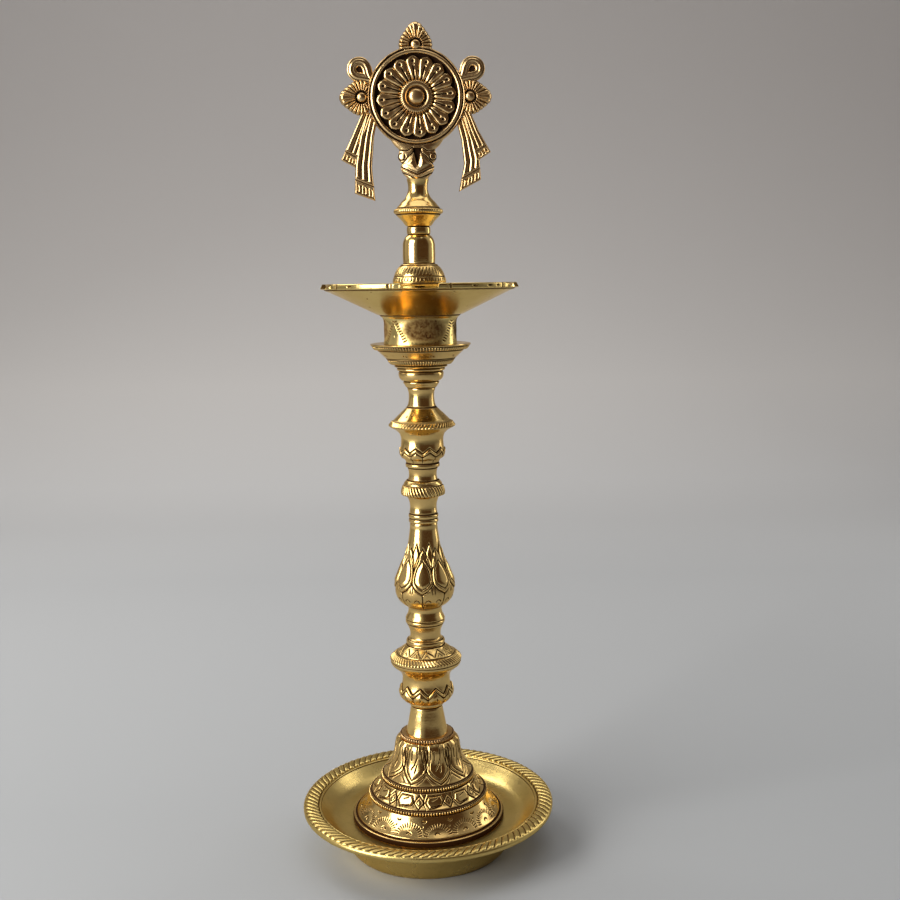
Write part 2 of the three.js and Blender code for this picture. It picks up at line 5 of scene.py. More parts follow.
import contextlib
import math

import bmesh
import bpy
import numpy as np
from mathutils import Matrix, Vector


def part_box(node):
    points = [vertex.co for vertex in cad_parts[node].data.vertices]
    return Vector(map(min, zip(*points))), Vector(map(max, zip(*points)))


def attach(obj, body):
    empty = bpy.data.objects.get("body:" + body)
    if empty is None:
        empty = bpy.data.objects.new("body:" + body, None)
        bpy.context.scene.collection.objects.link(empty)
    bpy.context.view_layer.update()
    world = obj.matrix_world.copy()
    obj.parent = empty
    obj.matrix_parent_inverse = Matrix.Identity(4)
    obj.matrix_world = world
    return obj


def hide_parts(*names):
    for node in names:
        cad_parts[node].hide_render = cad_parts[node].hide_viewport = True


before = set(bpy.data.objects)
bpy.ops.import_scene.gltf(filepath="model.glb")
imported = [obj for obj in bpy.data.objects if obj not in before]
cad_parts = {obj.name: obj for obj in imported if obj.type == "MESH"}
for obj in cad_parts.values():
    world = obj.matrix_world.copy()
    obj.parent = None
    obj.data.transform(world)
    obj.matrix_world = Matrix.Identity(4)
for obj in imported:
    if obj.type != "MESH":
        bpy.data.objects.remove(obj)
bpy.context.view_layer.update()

# The camera stands at arm's length, a little above the dish, tilted down on the tray. It is turned
# slightly to the right and rolled by a degree, as a camera held in the hand.
MM = 0.001
CAMERA_PLACE = (0.0, -0.626, 0.321)
CAMERA_LENS = 45.7
CAMERA_TILT = math.radians(8.33)
CAMERA_TURN = math.radians(-1.40)
CAMERA_ROLL = math.radians(-0.78)

camera = bpy.data.objects.new("camera", bpy.data.cameras.new("camera"))
camera.data.lens = CAMERA_LENS
camera.data.sensor_width = 36.0
camera.matrix_world = (
    Matrix.Translation(CAMERA_PLACE)
    @ Matrix.Rotation(CAMERA_TURN, 4, "Z")
    @ Matrix.Rotation(math.pi / 2 - CAMERA_TILT, 4, "X")
    @ Matrix.Rotation(CAMERA_ROLL, 4, "Z")
)
bpy.context.collection.objects.link(camera)
bpy.context.scene.camera = camera

# Drip tray. Cast brass turned on the lathe: a shallow satin well inside a rolled rim, on a tapered
# foot ring. The rope round the rim is chased by hand, one slanting strand after another.
FINE = 0.36
COARSE = 1.2


def smooth(share):
    """Eases a share between 0 and 1."""
    share = np.clip(share, 0, 1)
    return share * share * (3 - 2 * share)


def bend(*points, step=FINE):
    """Points about one step apart on a smooth curve through the given ones."""
    points = np.array(points, float)
    reach = np.hypot(*np.diff(points, axis=0).T)
    at = np.concatenate([[0], np.cumsum(reach)])
    slope = np.gradient(points, at, axis=0) if len(points) > 2 else np.diff(points, axis=0) / reach
    slope = np.resize(slope, points.shape)
    out = [points[0]]
    for i, length in enumerate(reach):
        count = max(1, round(length / step))
        t = (np.arange(count) + 1)[:, None] / count
        out.extend(
            (2 * t**3 - 3 * t**2 + 1) * points[i] + (t**3 - 2 * t**2 + t) * length * slope[i]
            + (3 * t**2 - 2 * t**3) * points[i + 1] + (t**3 - t**2) * length * slope[i + 1]
        )
    return np.array(out)


def plain(*points):
    """Points joined by straight lines, for surfaces with nothing on them."""
    return np.array(points, float)


def strokes(u, v, lines, width):
    """How far each point lies inside a cut along the lines: 1 in its middle, 0 at its edge."""
    nearest = np.full(np.broadcast(u, v).shape, np.inf)
    for line in lines:
        for (a, b), (c, d) in zip(line, line[1:]):
            across, up = c - a, d - b
            share = np.clip(((u - a) * across + (v - b) * up) / (across**2 + up**2), 0, 1)
            nearest = np.minimum(nearest, np.hypot(u - a - share * across, v - b - share * up))
    return smooth(1 - 2 * nearest / width)


def inside(u, v, outline, edge):
    """1 inside a closed outline, falling to 0 at it over the width of the edge."""
    within = np.zeros(np.broadcast(u, v).shape, bool)
    nearest = np.full(within.shape, np.inf)
    for (a, b), (c, d) in zip(outline, outline[1:] + outline[:1]):
        across, up = c - a, d - b
        if up:
            within ^= ((b > v) != (d > v)) & (u < a + (v - b) * across / up)
        share = np.clip(((u - a) * across + (v - b) * up) / (across**2 + up**2), 0, 1)
        nearest = np.minimum(nearest, np.hypot(u - a - share * across, v - b - share * up))
    return smooth(np.where(within, nearest, 0) / edge)


def arc(centre, radius, start, end, count=9):
    """A line of points on a circle, from one angle to another in degrees."""
    angles = np.radians(np.linspace(start, end, count))
    return [(centre[0] + radius * math.cos(a), centre[1] + radius * math.sin(a)) for a in angles]


def mirrored(lines):
    """The lines and their mirror images across u = 0."""
    return list(lines) + [[(-u, v) for u, v in line] for line in lines]


def mesh_from(name, points, faces, recess):
    """A smooth mesh in metres from points in millimetres, with how dark each point is, from its cuts and from
    painted shade.
    """
    mesh = bpy.data.meshes.new(name)
    mesh.from_pydata((np.asarray(points) * MM).tolist(), [], np.asarray(faces).tolist())
    mesh.attributes.new("recess", "FLOAT", "POINT").data.foreach_set("value", np.ravel(recess).astype("f"))
    return mesh


@contextlib.contextmanager
def opened(mesh):
    """Opens a mesh to be mended, then closes it again and shades it smooth."""
    shell = bmesh.new()
    shell.from_mesh(mesh)
    yield shell
    shell.to_mesh(mesh)
    shell.free()
    mesh.shade_smooth()


class Turned:
    """A turned surface, as rows along its outline by columns round it, that takes cuts and swells.

    The outline is given in named runs, from the bottom outwards, up and back in. Angle 0 is the
    front and angles grow to the right."""

    def __init__(self, columns, **runs):
        rows, self.spans = [], {}
        for name, run in runs.items():
            joined = bool(rows) and np.allclose(rows[-1], run[0])
            self.spans[name] = slice(len(rows) - joined, len(rows) - joined + len(run))
            rows.extend(run[joined:])
        self.rows = np.array(rows)
        self.angle = np.arange(columns) * 2 * math.pi / columns - math.pi
        self.relief = np.zeros((len(rows), columns))
        self.recess = np.zeros((len(rows), columns))

    def cell(self, run, count=1, phase=0.0, hand=0.0):
        """Distance round (u) and along the run (v) from the foot of the nearest of count motifs.

        hand is how far, in millimetres, a motif chased by hand strays from its place."""
        rows = self.rows[self.spans[run]]
        along = np.concatenate([[0], np.cumsum(np.hypot(*np.diff(rows, axis=0).T))])
        width = 2 * math.pi / count
        turn = (self.angle - math.radians(phase) + width / 2) % width - width / 2
        stray = hand * (np.sin(5 * self.angle + 1.3) + 0.7 * np.sin(13 * self.angle + 0.4))
        lift = hand * (np.sin(7 * self.angle + 2.2) + 0.7 * np.sin(17 * self.angle))
        return np.outer(rows[:, 0], turn) + stray, along[:, None] + lift

    def cut(self, run, shape, depth, dark=1.0):
        """Sinks the surface where the shape is, and darkens it there."""
        span = self.spans[run]
        self.relief[span] -= depth * shape
        self.recess[span] = np.maximum(self.recess[span], dark * shape)

    def swell(self, run, shape, rise):
        """Raises the surface where the shape is, and cleans it of dark there."""
        span = self.spans[run]
        self.relief[span] += rise * shape
        self.recess[span] *= 1 - shape

    def carve(self, run, count, low, high, rise, lean, dark=1.0):
        """Raises slanting ridges side by side between two distances along a run, dark between them.

        lean is how many ridges further right the top of each lies than its bottom."""
        _, v = self.cell(run)
        share = np.clip((v - low) / (high - low), 0, 1)
        turns = self.angle * count / (2 * math.pi) - lean * share
        ridge = np.abs(np.cos(math.pi * turns))
        band = smooth((v - low) / 0.7) * smooth((high - v) / 0.7)
        span = self.spans[run]
        self.relief[span] += rise * ridge**0.8 * band
        self.recess[span] = np.maximum(self.recess[span], dark * smooth(1 - 2.1 * ridge) * band)

    def at(self, run, *place, hand=0.0):
        """Takes up the motifs of a run, for the lines and leaves that follow."""
        self.run, (self.u, self.v) = run, self.cell(run, *place, hand=hand)

    def line(self, lines, width, depth, dark=1.0):
        """Chases lines in each motif."""
        self.cut(self.run, strokes(self.u, self.v, lines, width), depth, dark)

    def leaf(self, outline, edge, rise):
        """Raises each motif inside an outline."""
        self.swell(self.run, inside(self.u, self.v, outline, edge), rise)

    def groove(self, run, *heights, width=0.9, depth=0.35):
        """Cuts rings round the piece at these heights."""
        heights_of_rows = self.rows[self.spans[run], 1][:, None] + np.zeros(len(self.angle))
        for height in heights:
            shape = smooth(1 - 2 * np.abs(heights_of_rows - height) / width)
            self.cut(run, shape, depth)

    def shade(self, run, low, high, dark):
        """Darkens a band between two heights, softly, as painted shade."""
        height = self.rows[self.spans[run], 1][:, None] + np.zeros(len(self.angle))
        band = smooth((height - low) / 0.6 + 0.5) * smooth((high - height) / 0.6 + 0.5)
        self.recess[self.spans[run]] = np.maximum(self.recess[self.spans[run]], dark * band)

    def points(self):
        """Every point, row by row, in millimetres."""
        along = np.gradient(self.rows, axis=0)
        along /= np.maximum(np.linalg.norm(along, axis=1, keepdims=True), 1e-9)
        radius = self.rows[:, :1] + self.relief * along[:, 1:]
        height = self.rows[:, 1:] - self.relief * along[:, :1]
        return np.stack([radius * np.sin(self.angle), -radius * np.cos(self.angle), height], axis=-1)

    def skin(self, name, foot=0.0, place=None):
        """The mesh of the surface, seated at a height in millimetres or put in place by a function."""
        points = self.points()
        rows, columns = self.recess.shape
        closed = not np.allclose(self.rows[0], self.rows[-1]) and self.rows[0, 0] > 0
        lower = np.arange(rows if closed else rows - 1)[:, None] * columns
        upper = (lower + columns) % (rows * columns)
        left = np.arange(columns)[None]
        right = (left + 1) % columns
        faces = np.stack([lower + left, lower + right, upper + right, upper + left], axis=-1)
        points = place(points) if place else points + (0, 0, foot)
        mesh = mesh_from(name, points.reshape(-1, 3), faces.reshape(-1, 4), self.recess)
        with opened(mesh) as shell:
            ends = [v for v in shell.verts if v.is_boundary or v.index < columns]
            bmesh.ops.remove_doubles(shell, verts=ends, dist=1e-7)
            bmesh.ops.dissolve_degenerate(shell, edges=shell.edges[:], dist=1e-8)
        mesh.set_sharp_from_angle(angle=math.radians(50))
        return mesh


EDGE_TINT = (1.0, 0.86, 0.62, 1.0)
PATCH_GRAIN = 38
DENT_GRAIN = 90
SPECK_GRAIN = 420
DIRT_GRAIN = 700
SCRATCH_GRAIN = 1500
TOOL_MARKS = 2600


def add(tree, kind, inputs, output=0, **settings):
    """Adds a node with these settings, its inputs set or linked, and gives one of its outputs."""
    made = tree.nodes.new(kind)
    for name, value in settings.items():
        setattr(made, name, value)
    feed(tree, made, inputs)
    return made.outputs[output]


def feed(tree, made, inputs):
    """Links the sockets and sets the plain values on the inputs of a node."""
    for socket, value in inputs.items():
        if isinstance(value, bpy.types.NodeSocket):
            tree.links.new(value, made.inputs[socket])
        else:
            made.inputs[socket].default_value = value


def maths(tree, operation, first, second, clamp=False):
    return add(tree, "ShaderNodeMath", {0: first, 1: second}, operation=operation, use_clamp=clamp)


def brass(name, bright, tarnish, dark, rough, marks):
    """Brass that is dark where it is cut or shaded: its polish, its tarnish, the dirt in its recesses and
    painted shade.
    """
    material = bpy.data.materials.new(name)
    material.use_nodes = True
    tree = material.node_tree

    def mapped(source, low, high, to_low=0.0, to_high=1.0):
        limits = {"From Min": low, "From Max": high, "To Min": to_low, "To Max": to_high}
        return add(tree, "ShaderNodeMapRange", {"Value": source, **limits})

    def mixed(share, first, second):
        return add(tree, "ShaderNodeMix", {0: share, 6: first, 7: second}, 2, data_type="RGBA")

    def noise(scale, detail):
        return add(tree, "ShaderNodeTexNoise", {"Scale": scale, "Detail": detail, "Vector": place})

    place = add(tree, "ShaderNodeTexCoord", {}, "Object")
    recess = add(tree, "ShaderNodeAttribute", {}, "Fac", attribute_name="recess")
    smear = maths(tree, "MULTIPLY", maths(tree, "SUBTRACT", noise(DIRT_GRAIN, 3), 0.5), 0.25)
    cut = mapped(maths(tree, "ADD", recess, smear), 0.08, 0.42)
    patches = mapped(noise(PATCH_GRAIN, 5), 0.42, 0.68)
    specks = maths(tree, "MULTIPLY", mapped(noise(SPECK_GRAIN, 4), 0.56, 0.7), 0.3)
    stain = maths(tree, "ADD", maths(tree, "MULTIPLY", patches, 0.55), specks, clamp=True)
    worn = maths(tree, "ADD", maths(tree, "MULTIPLY", patches, 0.1), maths(tree, "MULTIPLY", cut, 0.6))

    flat = add(tree, "ShaderNodeSeparateXYZ", {0: place}).node.outputs
    squares = [maths(tree, "POWER", side, 2.0) for side in flat[:2]]
    reach = maths(tree, "ADD", maths(tree, "POWER", maths(tree, "ADD", *squares), 0.5), flat[2])
    rings = {"Scale": TOOL_MARKS, "Detail": 3, "W": reach}
    rings = add(tree, "ShaderNodeTexNoise", rings, noise_dimensions="1D")
    turned = maths(tree, "ADD", rings, maths(tree, "MULTIPLY", noise(SCRATCH_GRAIN, 4), 0.6))
    bump = add(tree, "ShaderNodeBump", {"Strength": marks, "Distance": 0.00006, "Height": turned})
    dents = {"Strength": 0.35, "Distance": 0.0004, "Height": noise(DENT_GRAIN, 3), "Normal": bump}
    feed(tree, tree.nodes["Principled BSDF"], {
        "Base Color": mixed(cut, mixed(stain, (*bright, 1), (*tarnish, 1)), (*dark, 1)),
        "Metallic": mapped(cut, 0.2, 1.0, 1.0, 0.1),
        "Specular IOR Level": mapped(cut, 0.2, 1.0, 0.5, 0.05),
        "Specular Tint": EDGE_TINT,
        "Roughness": maths(tree, "ADD", worn, rough, clamp=True),
        "Normal": add(tree, "ShaderNodeBump", dents),
    })
    return material


def piece(name, mesh, metal, slot, body, *nodes):
    """Shows a mesh as a piece that rides on a body and stands for these nodes of the frame."""
    mesh.materials.clear()
    mesh.materials.append(metal)
    shown = bpy.data.objects.new(name, mesh)
    bpy.context.collection.objects.link(shown)
    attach(shown, body)
    if nodes:
        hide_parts(*nodes)


def foot_of(node):
    """The height in millimetres at which a piece is seated."""
    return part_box(node)[0][2] / MM


def show(turned, node, metal, slot, body, place=None):
    """Seats a turned piece where the frame has its node, and shows it in the node's stead."""
    name = node + "_brass"
    piece(name, turned.skin(name, foot_of(node), place), metal, slot, body, node)


def new_tree(name, sockets):
    """An empty Geometry Nodes tree and the outputs of its named inputs."""
    tree = bpy.data.node_groups.new(name, "GeometryNodeTree")
    for socket, kind in sockets.items():
        tree.interface.new_socket(socket, in_out="INPUT", socket_type="NodeSocket" + kind)
    tree.interface.new_socket("Geometry", in_out="OUTPUT", socket_type="NodeSocketGeometry")
    return tree, tree.nodes.new("NodeGroupInput").outputs


def end_tree(tree, shape, metal):
    """Makes what a tree has built real, sets its metal and gives it out."""
    real = add(tree, "GeometryNodeRealizeInstances", {0: shape})
    painted = add(tree, "GeometryNodeSetMaterial", {"Geometry": real, "Material": metal})
    feed(tree, tree.nodes.new("NodeGroupOutput"), {0: painted})
    return tree


def ring_tree():
    """Geometry Nodes that set copies of a shape round a ring about Z, each turned with its place."""
    tree, given = new_tree("Copies round a ring", {
        "Shape": "Object", "Count": "Int", "Radius": "Float", "Height": "Float",
        "Metal": "Material",
    })
    share = maths(tree, "DIVIDE", add(tree, "GeometryNodeInputIndex", {}), given["Count"])
    turn = maths(tree, "MULTIPLY", share, 2 * math.pi)
    right, back = (
        maths(tree, "MULTIPLY", add(tree, "ShaderNodeMath", {0: turn}, operation=wave), given["Radius"])
        for wave in ("SINE", "COSINE")
    )
    front = maths(tree, "MULTIPLY", back, -1.0)
    spot = add(tree, "ShaderNodeCombineXYZ", {0: right, 1: front, 2: given["Height"]})
    spots = add(tree, "GeometryNodePoints", {"Count": given["Count"], "Position": spot})
    shape = add(tree, "GeometryNodeObjectInfo", {"Object": given["Shape"]}, "Geometry")
    turned = add(tree, "ShaderNodeCombineXYZ", {2: turn})
    copies = {"Points": spots, "Instance": shape, "Rotation": turned}
    return end_tree(tree, add(tree, "GeometryNodeInstanceOnPoints", copies), given["Metal"])


def made_by(tree, name, **inputs):
    """The mesh that a node tree makes from its named inputs."""
    maker = bpy.data.objects.new(name, bpy.data.meshes.new(name))
    bpy.context.collection.objects.link(maker)
    modifier = maker.modifiers.new("maker", "NODES")
    modifier.node_group = tree
    for socket in tree.interface.items_tree:
        if socket.in_out == "INPUT":
            modifier[socket.identifier] = inputs[socket.name.lower()]
    ready = maker.evaluated_get(bpy.context.evaluated_depsgraph_get())
    mesh = bpy.data.meshes.new_from_object(ready)
    maker.modifiers.clear()
    bpy.data.objects.remove(maker)
    mesh.name = name
    return mesh


def lobe(length, width, rise, slant, lean, sharp):
    """A half-sunk grain, slanted round its own normal and leaned from flat (0) to upright (90)."""
    rings, sides = 6, 10
    up = np.linspace(-math.pi / 2, math.pi / 2, rings + 1)[:, None]
    turn = np.arange(sides) * 2 * math.pi / sides
    ends = np.sign(np.sin(up)) * np.abs(np.sin(up)) ** sharp + 0 * turn
    x = np.cos(up) * np.cos(turn) * width / 2
    z = np.cos(up) * np.sin(turn) * rise
    points = np.stack([x, ends * length / 2, z], axis=-1).reshape(-1, 3)
    recess = 1 - smooth(points[:, 2] / rise * 3.2)
    lower = np.arange(rings)[:, None] * sides
    left = np.arange(sides)[None]
    right = (left + 1) % sides
    faces = np.stack([lower + left, lower + sides + left, lower + sides + right, lower + right], axis=-1)
    turned = Matrix.Rotation(math.radians(lean), 3, "X") @ Matrix.Rotation(math.radians(slant), 3, "Z")
    mesh = mesh_from("lobe", points @ np.array(turned).T, faces.reshape(-1, 4), recess)
    with opened(mesh) as shell:
        bmesh.ops.remove_doubles(shell, verts=shell.verts[:], dist=1e-7)
    return mesh


copies_round_a_ring = ring_tree()


def ring_of(name, shape, count, radius, height, metal):
    """Copies of a mesh round a ring, whose radius and height are in millimetres."""
    pattern = bpy.data.objects.new("pattern", shape)
    bpy.context.collection.objects.link(pattern)
    mesh = made_by(
        copies_round_a_ring, name, shape=pattern, count=count, radius=radius * MM,
        height=height * MM, metal=metal,
    )
    bpy.data.objects.remove(pattern)
    return mesh


satin = brass("satin brass", (0.66, 0.49, 0.175), (0.46, 0.33, 0.10), (0.08, 0.042, 0.012), 0.27, 0.5)
polished = brass("polished brass", (0.77, 0.54, 0.205), (0.56, 0.355, 0.125),
                 (0.04, 0.016, 0.005), 0.15, 0.25)
antique = brass("antique brass", (0.75, 0.52, 0.20), (0.48, 0.29, 0.10), (0.035, 0.013, 0.004), 0.15, 0.3)
reddish = brass("reddish brass", (0.54, 0.34, 0.15), (0.34, 0.18, 0.07), (0.03, 0.011, 0.004), 0.25, 0.3)

tray = Turned(
    360,
    foot=bend((42.4, 0.0), (44.3, 0.0), step=COARSE),
    wall=bend((44.3, 0.0), (44.9, 0.5), (48.9, 8.6), (52.9, 16.6), step=COARSE),
    under=bend((52.9, 16.6), (56.8, 19.6), (62.4, 21.9), (69.6, 22.9), step=COARSE),
    lip=bend((69.6, 22.9), (71.3, 23.6), (71.7, 25.0), (71.4, 26.2), (70.9, 26.6), step=0.4),
    seat=bend((70.9, 26.6), (70.3, 26.0), (69.6, 25.3), (66.6, 25.1), (63.8, 25.1), (63.0, 25.6), step=0.5),
    bead=bend((63.0, 25.6), (62.6, 26.1), (61.8, 25.9), (61.4, 25.0), step=0.3),
    well=bend((61.4, 25.0), (57.6, 21.2), (54.4, 18.5), (51.2, 17.2), (47.0, 17.0),
              (42.0, 17.0), step=COARSE),
    floor=plain((42.0, 17.0), (5.6, 17.0), (5.6, 14.0), (45.6, 14.0), (42.4, 0.8), (42.0, 0.4)),
)
# Painted shade on the seat under the rope.
tray.shade("seat", 24.6, 26.3, 0.9)
tray.groove("lip", 23.3, width=0.8, depth=0.25)
tray.groove("bead", 25.3, width=0.7, depth=0.2)
show(tray, "base_tray", satin, "satin_brass", "base")

STRANDS = 96
rope = Turned(
    1056,
    under=plain((63.8, 24.6), (70.4, 24.6)),
    strands=bend((70.4, 24.6), (70.75, 25.4), (70.4, 26.3), (69.3, 26.75), (66.8, 26.8), (64.6, 26.4),
                 (63.5, 25.8), (63.1, 25.2), (63.8, 24.6), step=0.42)[:-1],
)
rope.carve("strands", STRANDS, 0.7, 9.3, 0.75, lean=1.7)
piece("tray_rope", rope.skin("tray_rope"), satin, "satin_brass", "base")

# Bell foot. A hollow casting in three flared tiers, chased all over: fans of punched dashes, then
# diamonds and long leaves, then lotus petals that hang from the neck. The ledges are milled.
bell_foot = foot_of("bell_foot")
skirt = Turned(
    900,
    ring=bend((42.0, 0.0), (42.9, 0.1), (42.9, 3.1), (42.0, 3.4)),
    trench=bend((42.0, 3.4), (41.4, 3.6), (41.0, 4.0), step=0.2),
    skirt=bend((41.0, 4.0), (37.6, 7.0), (35.2, 10.2), (33.6, 13.2), step=0.3),
    back=plain((33.6, 13.2), (31.8, 12.8), (31.9, 8.0), (37.9, 3.0), (40.3, 0.0)),
)
skirt.cut("trench", smooth(1.4 - np.abs(skirt.cell("trench")[1] - 0.55) / 0.6), 0.5)
# Painted shade on the ring behind its milled teeth.
skirt.shade("ring", 0.3, 3.0, 0.6)

FANS = 15
FANS_START = 7.5
skirt.at("skirt", FANS, FANS_START, hand=0.12)
fan = []
for angle in np.linspace(10, 170, 15):
    c, s = math.cos(math.radians(angle)), math.sin(math.radians(angle))
    fan.append([(5.9 * c, 0.9 + 5.8 * s), (7.9 * c, 0.9 + 7.6 * s)])
skirt.line(fan, 0.7, 0.35)
skirt.line([arc((0, 2.4), 1.25, 15, 165, 6)], 0.85, 0.5)
skirt.at("skirt", FANS, FANS_START + 180 / FANS, hand=0.12)
skirt.line([arc((0.2, 10.4), 1.2, 205, 335, 5), [(-0.9, 6.7), (-0.6, 6.9)]], 0.85, 0.5)
piece("bell_skirt_brass", skirt.skin("bell_skirt_brass", bell_foot), antique, "antique_brass", "base")

bell = Turned(
    640,
    low_ledge=bend((32.6, 12.7), (33.3, 13.0), (33.3, 13.5), (33.5, 14.0), (33.5, 15.4), (33.1, 16.0),
                   (32.2, 16.5)),
    tier=bend((32.2, 16.5), (30.3, 18.0), (28.3, 20.6), (26.6, 23.4)),
    high_ledge=bend((26.6, 23.4), (26.3, 24.0), (26.2, 24.6), (26.2, 26.0), (26.0, 26.6), (25.4, 27.0)),
    petals=bend((25.4, 27.0), (24.4, 28.0), (22.6, 30.4), (20.6, 33.0), (19.2, 35.8), (18.4, 39.4),
                (17.9, 43.2), (17.2, 45.6), (16.0, 47.0)),
    crown=plain((16.0, 47.0), (15.0, 47.3), (5.3, 47.3), (5.3, 30.0), (19.4, 30.0)),
    hollow=plain((19.4, 30.0), (22.8, 24.2), (29.5, 13.6), (31.4, 12.4)),
)
# Painted shade on the ledges behind their milled teeth.
bell.shade("low_ledge", 13.7, 15.9, 0.6)
bell.shade("high_ledge", 24.3, 26.5, 0.6)
bell.groove("low_ledge", 13.3, 16.3)
bell.groove("high_ledge", 23.8, 26.9)

DIAMONDS = 11
DIAMONDS_START = -10.2
bell.at("tier", DIAMONDS, DIAMONDS_START, hand=0.12)
diamond = [(-3.0, 4.3), (0, 8.4), (3.0, 4.3), (0, 0.5)]
small = [(-1.35, 4.3), (0, 6.3), (1.35, 4.3), (0, 2.5)]
bell.leaf(diamond, 0.8, 0.35)
bell.line([diamond + diamond[:1]], 0.95, 0.5)
bell.line([small + small[:1]], 0.75, 0.4)
bell.at("tier", DIAMONDS, DIAMONDS_START + 180 / DIAMONDS, hand=0.12)
leaf = [(-4.6, 4.4), (-2.9, 7.9), (4.0, 8.0), (5.3, 4.6), (4.2, 2.4), (-2.6, 0.9)]
bell.leaf(leaf, 1.0, 0.6)
bell.line([leaf + leaf[:1], [(-4.0, 8.8), (-6.0, 4.5), (-4.6, 0.3)]], 0.8, 0.5)
bell.line([[(-0.9, 5.4), (2.0, 6.6)], [(-1.8, 1.9), (3.0, 2.7)]], 0.75, 0.45)

PETALS = 9
PETALS_START = -22.9
bell.at("petals", PETALS, PETALS_START, hand=0.12)
right_edge = [(0, 0.8), (3.8, 3.0), (6.6, 5.8), (7.7, 8.6), (7.2, 12.0), (5.9, 16.0), (5.2, 20.0),
              (4.9, 25.5)]
left_edge = [(0, 0.8), (-3.2, 3.6), (-5.8, 6.6), (-6.9, 9.2), (-6.3, 12.4), (-5.3, 16.0), (-4.9, 20.0),
             (-4.7, 25.5)]
right_fold = [(0, 3.0), (2.6, 4.9), (4.8, 7.2), (5.6, 9.4), (5.0, 12.4), (4.0, 16.0), (3.5, 20.0),
              (3.3, 25.5)]
left_fold = [(0, 3.0), (-2.2, 5.2), (-4.1, 7.7), (-4.9, 9.8), (-4.3, 12.6), (-3.6, 16.0), (-3.4, 20.0),
             (-3.3, 25.5)]
bell.leaf(right_edge + left_edge[:0:-1], 1.2, 0.4)
bell.leaf(right_fold + left_fold[:0:-1], 2.2, 0.3)
bell.line([right_edge[:-1], left_edge[:-1]], 1.0, 0.6)
bell.line([right_fold[:-1], left_fold[:-1]], 0.8, 0.45)
veins = [[(1.3, 22.0), (1.5, 16.0), (0.2, 11.6), (-1.5, 8.8)], [(-1.6, 19.0), (-1.8, 14.0)],
         [(1.5, 11.4), (0.9, 7.6)]]
bell.line(veins, 0.95, 0.5)
bell.at("petals", PETALS, PETALS_START + 180 / PETALS, hand=0.12)
sepal = [(0, 7.8), (1.5, 12.0), (1.3, 17.0), (0.6, 20.4), (-0.6, 20.4), (-1.3, 17.0), (-1.5, 12.0)]
bell.line([sepal + sepal[:1], [(0, 12.0), (0, 19.0)]], 0.7, 0.4)
bell.line(mirrored([[(0, 5.6), (2.2, 3.3), (4.6, 1.2)]]), 0.7, 0.35, 0.8)
show(bell, "bell_foot", antique, "antique_brass", "base")

for name, count, radius, height, length in (
    ("bell_ring_milling", 168, 42.45, 1.7, 2.7),
    ("bell_low_milling", 136, 33.35, 14.7, 1.9),
    ("bell_high_milling", 112, 26.0, 25.3, 1.9),
):
    teeth = ring_of(name, lobe(length, 1.15, 0.9, 0, 90, 0.6), count, radius, bell_foot + height, antique)
    piece(name, teeth, antique, "antique_brass", "base")

# Tie rod, washer and nut. A threaded brass rod through the tray draws the bell down on it; the
# nut turns up against a washer inside the foot ring, where nobody sees it.
THREAD_DEPTH = 0.62
CHAMFER = 0.6
ROD_PITCH = 2.0


def thread_tree():
    """Geometry Nodes that wind a three-sided ridge round a core, from one height to another."""
    tree, given = new_tree("Thread ridge", {
        "Radius": "Float", "Low": "Float", "High": "Float", "Pitch": "Float", "Metal": "Material",
    })
    height = maths(tree, "SUBTRACT", given["High"], given["Low"])
    helix = add(tree, "GeometryNodeCurveSpiral", {
        "Resolution": 32, "Rotations": maths(tree, "DIVIDE", height, given["Pitch"]),
        "Start Radius": given["Radius"], "End Radius": given["Radius"], "Height": height,
    })
    offset = add(tree, "ShaderNodeCombineXYZ", {2: given["Low"]})
    raised = add(tree, "GeometryNodeSetPosition", {"Geometry": helix, "Offset": offset})
    width = maths(tree, "MULTIPLY", given["Pitch"], 0.42)
    ridge = add(tree, "GeometryNodeCurvePrimitiveCircle", {"Resolution": 3, "Radius": width})
    sweep = {"Curve": raised, "Profile Curve": ridge, "Fill Caps": True}
    return end_tree(tree, add(tree, "GeometryNodeCurveToMesh", sweep), given["Metal"])


thread_ridge = thread_tree()
cut_brass = brass("cut brass", (0.70, 0.50, 0.20), (0.50, 0.34, 0.12), (0.12, 0.07, 0.02), 0.28, 0.8)


def threaded(node, body, pitch):
    """A threaded stud or rod: a turned core with chamfered ends and the ridge wound round it."""
    (low_x, _, low), (high_x, _, high) = [[c / MM for c in corner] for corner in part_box(node)]
    radius = (high_x - low_x) / 2
    core = radius - THREAD_DEPTH
    rod = Turned(48, side=plain(
        (0.0, low), (core - CHAMFER, low), (core, low + CHAMFER),
        (core, high - CHAMFER), (core - CHAMFER, high), (0.0, high),
    ))
    piece(node + "_core", rod.skin(node + "_core"), cut_brass, "turned_brass", body, node)
    ridge = made_by(
        thread_ridge, node + "_thread", radius=(core - 0.05) * MM, low=(low + 1.2) * MM,
        high=(high - 1.2) * MM, pitch=pitch * MM, metal=cut_brass,
    )
    piece(node + "_thread", ridge, cut_brass, "turned_brass", body)


threaded("tie_rod", "base", ROD_PITCH)
for node in ("tie_nut", "tie_washer"):
    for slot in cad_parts[node].material_slots:
        slot.material = cut_brass

# Collar ring. A knurled ring of redder brass, loose round the stud, that hides the joint between
# the bell and the stem.
collar_foot = foot_of("collar_ring")
collar = Turned(
    180,
    side=bend((14.9, 0.0), (15.1, 0.3), (15.2, 0.9), (15.1, 1.9), (14.5, 2.6)),
    top=plain((14.5, 2.6), (13.9, 2.7), (5.3, 2.7), (5.3, 0.0)),
)
# Painted shade on the side behind the knurls.
collar.shade("side", 0.3, 2.4, 0.8)
show(collar, "collar_ring", reddish, "reddish_brass", "base")
knurl = ring_of("collar_knurl", lobe(2.3, 1.5, 0.6, 12, 90, 0.7), 62, 15.0, collar_foot + 1.3, reddish)
piece("collar_knurl", knurl, reddish, "reddish_brass", "base")

